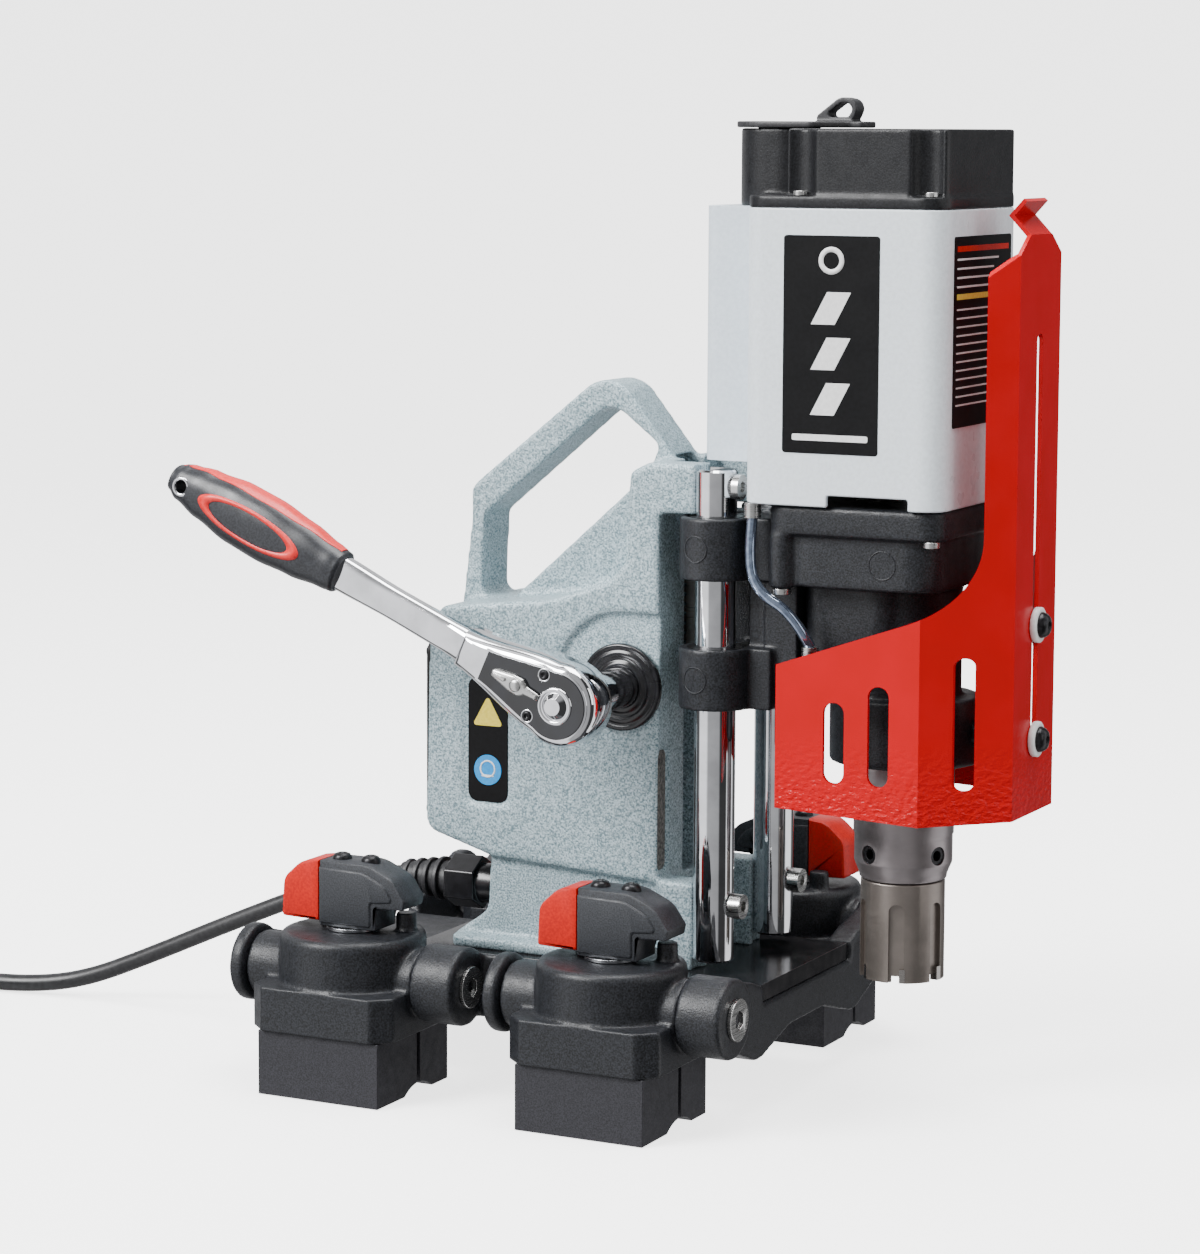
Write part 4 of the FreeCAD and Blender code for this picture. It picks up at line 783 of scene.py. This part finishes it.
def along_handle(reach, up, y):
    """A point on the ratchet: its reach from the axis, its height over the handle's centreline, and Y."""
    return HANDLE @ Vector((-reach, y, up))


def handle_plane(y):
    """Outline points are (reach, up); heights run towards -Y."""
    turn = Matrix(((-1, 0, 0), (0, 0, -1), (0, 1, 0))).to_4x4()
    return HANDLE @ Matrix.Translation((0, y, 0)) @ turn


def superellipse(reach, half_tall, half_thick, power):
    """A ring of points across the handle: an oval with squarer sides as the power grows."""
    ring = []
    for angle in full_turn(40):
        c, s = math.cos(angle), math.sin(angle)
        up = half_tall * math.copysign(abs(s) ** (2 / power), s)
        out = half_thick * math.copysign(abs(c) ** (2 / power), c)
        ring.append(along_handle(reach, up, GRIP_Y + out))
    return ring


def head_outline(radius, tip, half_tip, shoulder):
    """(reach, up) points: a circle round the axis and a tapering tail."""
    upper = []
    for angle in range(180, 61, -7):
        upper.append(Vector((radius * math.cos(math.radians(angle)), radius * math.sin(math.radians(angle)))))
    first = upper[-1]
    steps = 8
    for step in range(1, steps + 1):
        part = step / steps
        ease = part * part * (3 - 2 * part)
        up = first.y + (half_tip - first.y) * (ease * (1 - shoulder) + part * shoulder)
        upper.append(Vector((first.x + (tip - first.x) * part, up)))
    lower = [Vector((point.x, -point.y)) for point in reversed(upper[1:])]
    return upper + lower


# Sections along the handle: reach, half height, half thickness and the superellipse's power.
SHANK = [(18, 15, 10.2, 3.0), (30, 12.6, 9.6, 3.0), (44, 10.2, 8.2, 3.0), (56, 8.6, 6.2, 3.0),
         (70, 7.9, 5.0, 3.4), (100, 7.6, 4.6, 3.6), (134, 8.6, 5.0, 3.2), (150, 8.2, 4.6, 3.0)]
GRIP = [(132.5, 9.2, 8.2, 2.3), (134, 10.6, 9.6, 2.3), (140, 11.4, 10.2, 2.3), (158, 14.2, 11.2, 2.3),
        (178, 16.0, 11.9, 2.35), (196, 15.7, 11.8, 2.35), (216, 12.8, 10.6, 2.3), (230, 9.6, 9.4, 2.3),
        (235.5, 7.0, 7.6, 2.2), (237, 4.2, 5.0, 2.1)]


def grip_skin(reach, up, lift=0.0):
    """A point on the grip's near side."""
    half_tall, half_thick, power = between(GRIP, reach)
    part = min(1.0, abs(up) / half_tall)
    out = half_thick * (1 - part ** power) ** (1 / power)
    return along_handle(reach, up, GRIP_Y - out - lift)


def grip_marks():
    """A red oval ring on each side of the grip and a red band along its top."""
    meshes = []
    for side in (-1, 1):
        mesh = bmesh.new()
        rings = []
        for scale, lift in ((1.0, -0.3), (1.0, 0.32), (0.78, 0.32), (0.78, -0.3)):
            ring = []
            for angle in full_turn(MARK_STEPS):
                reach = 184 + 31 * scale * math.cos(angle)
                up = 8.6 * (scale - 0.04 * (1 - scale)) * math.sin(angle)
                point = grip_skin(reach, up, lift)
                if side > 0:
                    point.y = 2 * GRIP_Y - point.y
                ring.append(mesh.verts.new(point * MM))
            rings.append(ring)
        for low, high in zip(rings, rings[1:] + rings[:1]):
            bridge(mesh, low, high)
        meshes.append(crease(mesh, 50))
    sections = []
    for step in range(27):
        reach = 136 + 97 * step / 26
        half_tall, half_thick, power = between(GRIP, reach)
        wide = 0.3 + 0.3 * math.sin(math.pi * min(1, step / 26 + 0.02))
        ring = []
        for lift in (0.32, -0.5):
            spots = range(-5, 6) if lift > 0 else range(5, -6, -1)
            for spot in spots:
                out = half_thick * wide * spot / 5
                up = half_tall * (1 - (abs(out) / half_thick) ** power) ** (1 / power)
                ring.append(along_handle(reach, up + lift, GRIP_Y + out))
        sections.append(ring)
    meshes.append(loft(sections))
    add("grip_marks", merged(*meshes), "ratchet", "grip", "grip_red")


def ratchet():
    back = handle_plane(HEAD_BACK)
    head = layered(head_outline(20, 58, 9, 0.25), [(3.0, 0.2), (1.0, 1.0), (0, 2.8), (0, 15.5), (0.5, 18.6),
                                                   (1.5, 20.4), (3.0, 21.6), (4.4, 22)], back)
    sections = []
    for step in range(45):
        reach = 18 + 132 * step / 44
        sections.append(superellipse(reach, *between(SHANK, reach)))
    add("ratchet_head", head, "ratchet", "chrome", "chrome", "ratchet_frame")
    add("ratchet_shank", loft(sections), "ratchet", "chrome", "chrome")
    bezel = layered(head_outline(16.6, 43, 8.2, 0.6), [(0, 21.2), (0, 22.2), (0.5, 22.4)], back)
    add("ratchet_bezel", bezel, "ratchet", "chrome", "chrome")
    cover = layered(head_outline(15.7, 41.5, 7.4, 0.6), [(0, 21.6), (0, 22.5), (0.4, 22.8)], back)
    add("ratchet_cover", cover, "ratchet", "chrome", "cover")
    place = handle_plane(HEAD_BACK - 22.6)
    spots = [place @ Matrix.Translation((11, up, 0)) for up in (-11, 11)]
    profile = [(0, 0.3), (1.0, 0.3, 6), (1.0, 0.9, 6), (1.7, 0.9), (2.3, 0.5), (2.4, -0.6), (0, -0.6)]
    screws = [turned(profile, spot, 24) for spot in spots]
    rings = [turned([(2.5, -0.4), (3.3, -0.4), (3.3, 0.25), (2.5, 0.25)], spot, 24) for spot in spots]
    profile = [(6.9, -0.5), (9.0, -0.5), (9.0, 0.3), (8.4, 0.8), (7.4, 0.8), (6.9, 0.3)]
    rings.append(turned(profile, place, 48))
    add("ratchet_rings", merged(*rings), "ratchet", "chrome", "chrome")
    add("ratchet_screws", merged(*screws), "ratchet", "black_screw", "dark_steel")
    profile = [(0, 1.9), (2.5, 1.8), (4.6, 1.2), (5.8, 0.4), (6.2, -0.6), (6.2, -2), (0, -2)]
    add("ratchet_button", turned(profile, place, 48), "feed", "chrome", "chrome")
    reverse()
    sections = []
    for step in range(57):
        reach = GRIP_START + GRIP_LENGTH * (1 - math.cos(math.pi * step / 56)) / 2
        sections.append(superellipse(reach, *between(GRIP, reach)))
    grip = add("ratchet_handle", loft(sections), "ratchet", "grip", "grip", "ratchet_grip")
    hole = Matrix.Translation((EYELET_REACH, 0, 0))
    carve(grip, turned([(0, -20), (3.4, -20), (3.4, 20), (0, 20)], handle_plane(GRIP_Y) @ hole, 28))
    crease_mesh(grip)
    eyelets = [turned([(3.3, -0.6), (4.9, -0.6), (4.9, 0.3), (4.3, 0.7), (3.3, 0.5)],
                      handle_plane(GRIP_Y - 9.2 * side) @ hole @ Matrix.Diagonal((1, 1, side, 1)), 32)
               for side in (1, -1)]
    add("grip_eyelets", merged(*eyelets), "ratchet", "chrome", "chrome")
    grip_marks()


def crease_mesh(thing):
    mesh = bmesh.new()
    mesh.from_mesh(thing.data)
    crease(mesh, 50)
    mesh.to_mesh(thing.data)
    mesh.free()


def reverse():
    """The forked lever that sets the ratchet's direction."""
    place = handle_plane(HEAD_BACK - 22.8)
    half = [(8.9, -1.6, 0.8), (16, -2.2, 1), (19, -4.4, 1.4), (24, -4.2, 2), (35.5, -1.8, 1.6)]
    mirrored = [(reach, -up, radius) for reach, up, radius in reversed(half)]
    arm = layered(rounded(half + mirrored, 4), [(0, 0.0), (0, 1.5), (0.5, 2.2), (1.1, 2.5)], place)
    pivot = turned([(0, 3.3), (2.2, 3.1), (3.2, 2.4), (3.4, 0), (0, 0)],
                   place @ Matrix.Translation((21.5, 0, 0)), 32)
    ridge = layered(rounded([(27, -1.0, 0.6), (34, -0.7, 0.6), (34, 0.7, 0.6), (27, 1.0, 0.6)], 3),
                    [(0, 2.2), (0, 3.2), (0.4, 3.5)], place)
    add("reverse_switch", merged(arm, pivot, ridge), "reverse", "chrome", "steel", "reverse_lever")


# ---------------------------------------------------------------- drill unit

COLUMN_X, COLUMN_Y, COLLAR_RADIUS = 57.7, 35.15, 17.5
GUARD_FACE = 206.1


def surface_ring(radius, thick, centre, skin, count=40):
    """A raised ring mark that follows a curved face. The skin gives Y from X."""
    mesh = bmesh.new()
    rings = []
    for swing in full_turn(6):
        ring = []
        for angle in full_turn(count):
            reach = radius + thick * math.cos(swing)
            x = centre[0] + reach * math.cos(angle)
            z = centre[1] + reach * math.sin(angle)
            ring.append(mesh.verts.new(Vector((x, skin(x) - thick * 0.8 * math.sin(swing), z)) * MM))
        rings.append(ring)
    for low, high in zip(rings, rings[1:] + rings[:1]):
        bridge(mesh, low, high)
    return crease(mesh, 60)


def collar_skin(x):
    """The near face of a column's round collar."""
    return -COLUMN_Y - math.sqrt(max(0.0, COLLAR_RADIUS ** 2 - (x - COLUMN_X) ** 2))


def drill_unit():
    cast("slide_casting", "drill_unit", "black_casting", "casting", 1.0, 4)
    cast("gearbox_housing", "drill_unit", "black_casting", "casting", 1.1, 14)
    marks = [surface_ring(6.2, 0.45, (54.5, z), collar_skin) for z in (203.5, 266)]
    marks.append(surface_ring(6.6, 0.5, (146, 262.5), lambda x: -42.9))
    add("casting_marks", merged(*marks), "drill_unit", "black_casting", "casting")
    dress("slide_bushes", "drill_unit", "bronze", "dark_steel", 0)
    dress("feed_rack", "drill_unit", "gear_steel", "gear", 0)
    dress("shaft_bearings", "drill_unit", "gear_steel", "gear", 0.3)
    dress("idler_gears", "idler", "gear_steel", "gear", 0)
    dress("armature", "motor_shaft", "lamination", "lamination", 0)
    dress("field_stator", "drill_unit", "lamination", "lamination", 0.4)
    dress("spindle_arbor", "spindle", "tool_steel", "arbor", 0)
    dress("arbor_set_screws", "spindle", "black_screw", "dark_steel", 0.3)
    dress("annular_cutter", "spindle", "tool_steel", "tool", 0.25)
    dress("pilot_pin", "pilot", "gear_steel", "gear", 0.2)
    dress("motor_housing", "drill_unit", "housing_grey", "housing", 0.9)
    cast("motor_cap", "drill_unit", "black_plastic", "plastic", 0.9, 4)
    dress("coolant_tank", "drill_unit", "tank_grey", "tank", 0.8)
    dress("housing_screws", "drill_unit", "screw_steel", "steel", 0.4)
    cast("filler_lid", "lid", "black_rubber", "rubber", 0.55, 4)
    dress("guard_bracket", "drill_unit", "black_screw", "dark_steel", 0.4)
    dress("guard_shield", "guard", "guard_red", "guard", 0.7)
    guard_fixings()
    stickers()
    carbide_tips()
    coolant_hose()


def guard_fixings():
    """Button screws on thick white washers hold the guard's slot."""
    washers, screws = [], []
    for z in (234, 180):
        place = facing("+x", (GUARD_FACE, 0, z))
        washers.append(turned([(3.2, 0.1), (8.0, 0.1), (8.4, 0.5), (8.4, 2.6), (7.6, 3.1), (3.2, 3.1)],
                              place))
        screws.append(turned([(0, 4.6), (2.1, 4.6, 6), (2.1, 7.2, 6), (2.8, 7.2), (4.4, 6.6), (5.6, 5.2),
                              (6.1, 3.6), (6.1, 2.9), (3, 2.9), (3, -3), (0, -3)], place, 40))
    add("guard_washers", merged(*washers), "drill_unit", "housing_grey", "white")
    add("guard_buttons", merged(*screws), "drill_unit", "black_screw", "dark_steel", "guard_screws")


def stickers():
    """A plain label on the near side, and one on the front: bars and shapes only, with no lettering."""
    sticker = plate(rectangle(98, 314, 146, 415, 1.5), 0.3, facing("-y", (0, -50, 0)), 0.08)
    add("side_sticker", sticker, "drill_unit", "black_plastic", "sticker")
    shapes = []
    over = facing("-y", (0, -50.26, 0))
    for row in range(3):
        low = 332 + row * 21
        shapes.append(plate([(112, low), (124, low), (132, low + 15), (120, low + 15)], 0.12, over, 0.03))
    place = facing("-y", (122, -50.26, 403.5))
    shapes.append(turned([(4.0, 0), (6.4, 0), (6.4, 0.12), (4.0, 0.12)], place, 32))
    shapes.append(plate(rectangle(103, 320, 141, 323, 0.8, 3), 0.12, over, 0.03))
    add("side_sticker_marks", merged(*shapes), "drill_unit", "housing_grey", "white")
    sticker = plate(rectangle(-36.5, 327, 36.5, 415, 1.5), 0.3, facing("+x", (177, 0, 0)), 0.08)
    add("front_sticker", sticker, "drill_unit", "black_plastic", "sticker")
    over = facing("+x", (177.26, 0, 0))

    def bar(low, high, left, right):
        return plate(rectangle(left, low, right, high, 0.4, 3), 0.12, over, 0.03)

    add("front_sticker_red", bar(408, 410.6, -33, 33), "drill_unit", "red_button", "red")
    add("front_sticker_yellow", bar(386, 388.6, -33, 33), "drill_unit", "brass_pins", "yellow")
    lines = [bar(404 - 4.2 * row, 404.9 - 4.2 * row, -33, 20 - 6 * (row % 3)) for row in range(4)]
    lines += [bar(381 - 4.0 * row, 381.8 - 4.0 * row, -33, 26 - 9 * (row % 3)) for row in range(12)]
    add("front_sticker_lines", merged(*lines), "drill_unit", "housing_grey", "white")


TIPS, FIRST_TIP = 6, -76


def carbide_tips():
    """Brazed tips beside the cutter's gullets."""
    tips = []
    for index in range(TIPS):
        mesh = slab((16.5, 1.5, 60.4), (20.0, 4.3, 67))
        turn = Matrix.Rotation(math.radians(360 / TIPS * index + FIRST_TIP), 4, "Z")
        bmesh.ops.transform(mesh, matrix=turn, verts=mesh.verts)
        bmesh.ops.translate(mesh, vec=(SPINDLE_X * MM, 0, 0), verts=mesh.verts)
        tips.append(mesh)
    add("carbide_tips", merged(*tips), "spindle", "tool_steel", "carbide")


# ---------------------------------------------------------------- studio

# The stage is in metres: its flat floor, the curve up into the wall, and the gap under the machine.
FLOOR_REACH, WALL_CURVE, WALL_TOP = 3.2, 2.6, 9.0
STAGE_GAP = 0.0003


def pale_stage():
    """A wide floor that curves up into a wall all round, far from the machine."""
    mesh = bmesh.new()
    profile = [(1e-4, 0.0), (FLOOR_REACH, 0.0)]
    for angle in (math.radians(step * 7.5) for step in range(1, 13)):
        profile.append((FLOOR_REACH + WALL_CURVE * math.sin(angle),
                        WALL_CURVE - WALL_CURVE * math.cos(angle)))
    profile.append((FLOOR_REACH + WALL_CURVE, WALL_TOP))
    rings = []
    for radius, height in profile:
        rings.append([mesh.verts.new((radius * math.cos(angle), radius * math.sin(angle), height - STAGE_GAP))
                      for angle in full_turn(96)])
    for low, high in zip(rings, rings[1:]):
        bridge(mesh, low, high)
    for face in mesh.faces:
        face.smooth = True
    bmesh.ops.recalc_face_normals(mesh, faces=mesh.faces)
    data = bpy.data.meshes.new("Stage")
    mesh.to_mesh(data)
    mesh.free()
    thing = bpy.data.objects.new("Stage", data)
    bpy.context.collection.objects.link(thing)
    look = Look("PaleStage", linear(232, 232, 232), 0.75, 0.0, Specular_IOR_Level=0.15,
                Emission_Color=(1, 1, 1, 1), Emission_Strength=2.6)
    look.paint(look.tint(look.noise(400, 2.0), linear(230, 230, 230), linear(232, 232, 232)))
    data.materials.append(look.material)
    thing.visible_shadow = False
    thing.visible_glossy = False
    thing.visible_diffuse = False


# What polished metal sees round the horizon: degrees from the view, and brightness.
SKY = [(-180, 0.9), (-132, 0.9), (-118, 0.12), (-98, 0.12), (-90, 1.5), (-48, 1.5), (-38, 0.5), (22, 0.42),
       (30, 0.05), (66, 0.05), (74, 1.4), (112, 1.4), (122, 0.1), (150, 0.1), (162, 0.9), (180, 0.9)]


def studio():
    """Soft pale light all round. Shiny metal sees softboxes with dark gaps between them."""
    world = bpy.data.worlds.new("Studio")
    bpy.context.scene.world = world
    world.use_nodes = True
    tree = world.node_tree
    tree.nodes.clear()
    out = tree.nodes.new("ShaderNodeOutputWorld")
    plain = tree.nodes.new("ShaderNodeBackground")
    plain.inputs["Color"].default_value = (1, 1, 1, 1)
    plain.inputs["Strength"].default_value = 0.7
    shiny = tree.nodes.new("ShaderNodeBackground")
    shiny.inputs["Strength"].default_value = 1.0
    mix = tree.nodes.new("ShaderNodeMixShader")
    path = tree.nodes.new("ShaderNodeLightPath")
    where = tree.nodes.new("ShaderNodeTexCoord")
    turn = tree.nodes.new("ShaderNodeMapping")
    turn.inputs["Rotation"].default_value = (0, 0, math.radians(90 - VIEW_AZIMUTH))
    angle = tree.nodes.new("ShaderNodeTexGradient")
    angle.gradient_type = "RADIAL"
    ramp = tree.nodes.new("ShaderNodeValToRGB")
    elements = ramp.color_ramp.elements
    while len(elements) > 1:
        elements.remove(elements[-1])
    for index, (degrees, value) in enumerate(SKY):
        element = elements[0] if index == 0 else elements.new((degrees + 180) / 360)
        element.position = (degrees + 180) / 360
        element.color = (value, value, value * 1.02, 1)
    links = (
        (where.outputs["Generated"], turn.inputs[0]), (turn.outputs[0], angle.inputs[0]),
        (angle.outputs[0], ramp.inputs[0]), (ramp.outputs[0], shiny.inputs["Color"]),
        (path.outputs["Is Glossy Ray"], mix.inputs[0]), (plain.outputs[0], mix.inputs[1]),
        (shiny.outputs[0], mix.inputs[2]), (mix.outputs[0], out.inputs[0]),
    )
    for source, target in links:
        tree.links.new(source, target)


def lamp(name, place, target, size, power):
    """An area light. Its place, target and size are in metres."""
    data = bpy.data.lights.new(name, "AREA")
    data.shape = "RECTANGLE"
    data.size, data.size_y = size
    data.energy = power
    thing = bpy.data.objects.new(name, data)
    thing.location = place
    thing.rotation_euler = (Vector(target) - Vector(place)).to_track_quat("-Z", "Y").to_euler()
    bpy.context.collection.objects.link(thing)


def lights():
    lamp("Key", (-1.3, -1.9, 1.9), (0, 0, 0.2), (1.3, 1.3), 150)
    lamp("Top", (0.2, 0.1, 2.3), (0, 0, 0.2), (1.6, 1.2), 70)
    lamp("Side", (2.2, -0.4, 0.9), (0.1, 0, 0.25), (0.7, 1.5), 8)


make_camera()
mains_lead()
body()
feed()
base()
ratchet()
drill_unit()
pale_stage()
studio()
lights()
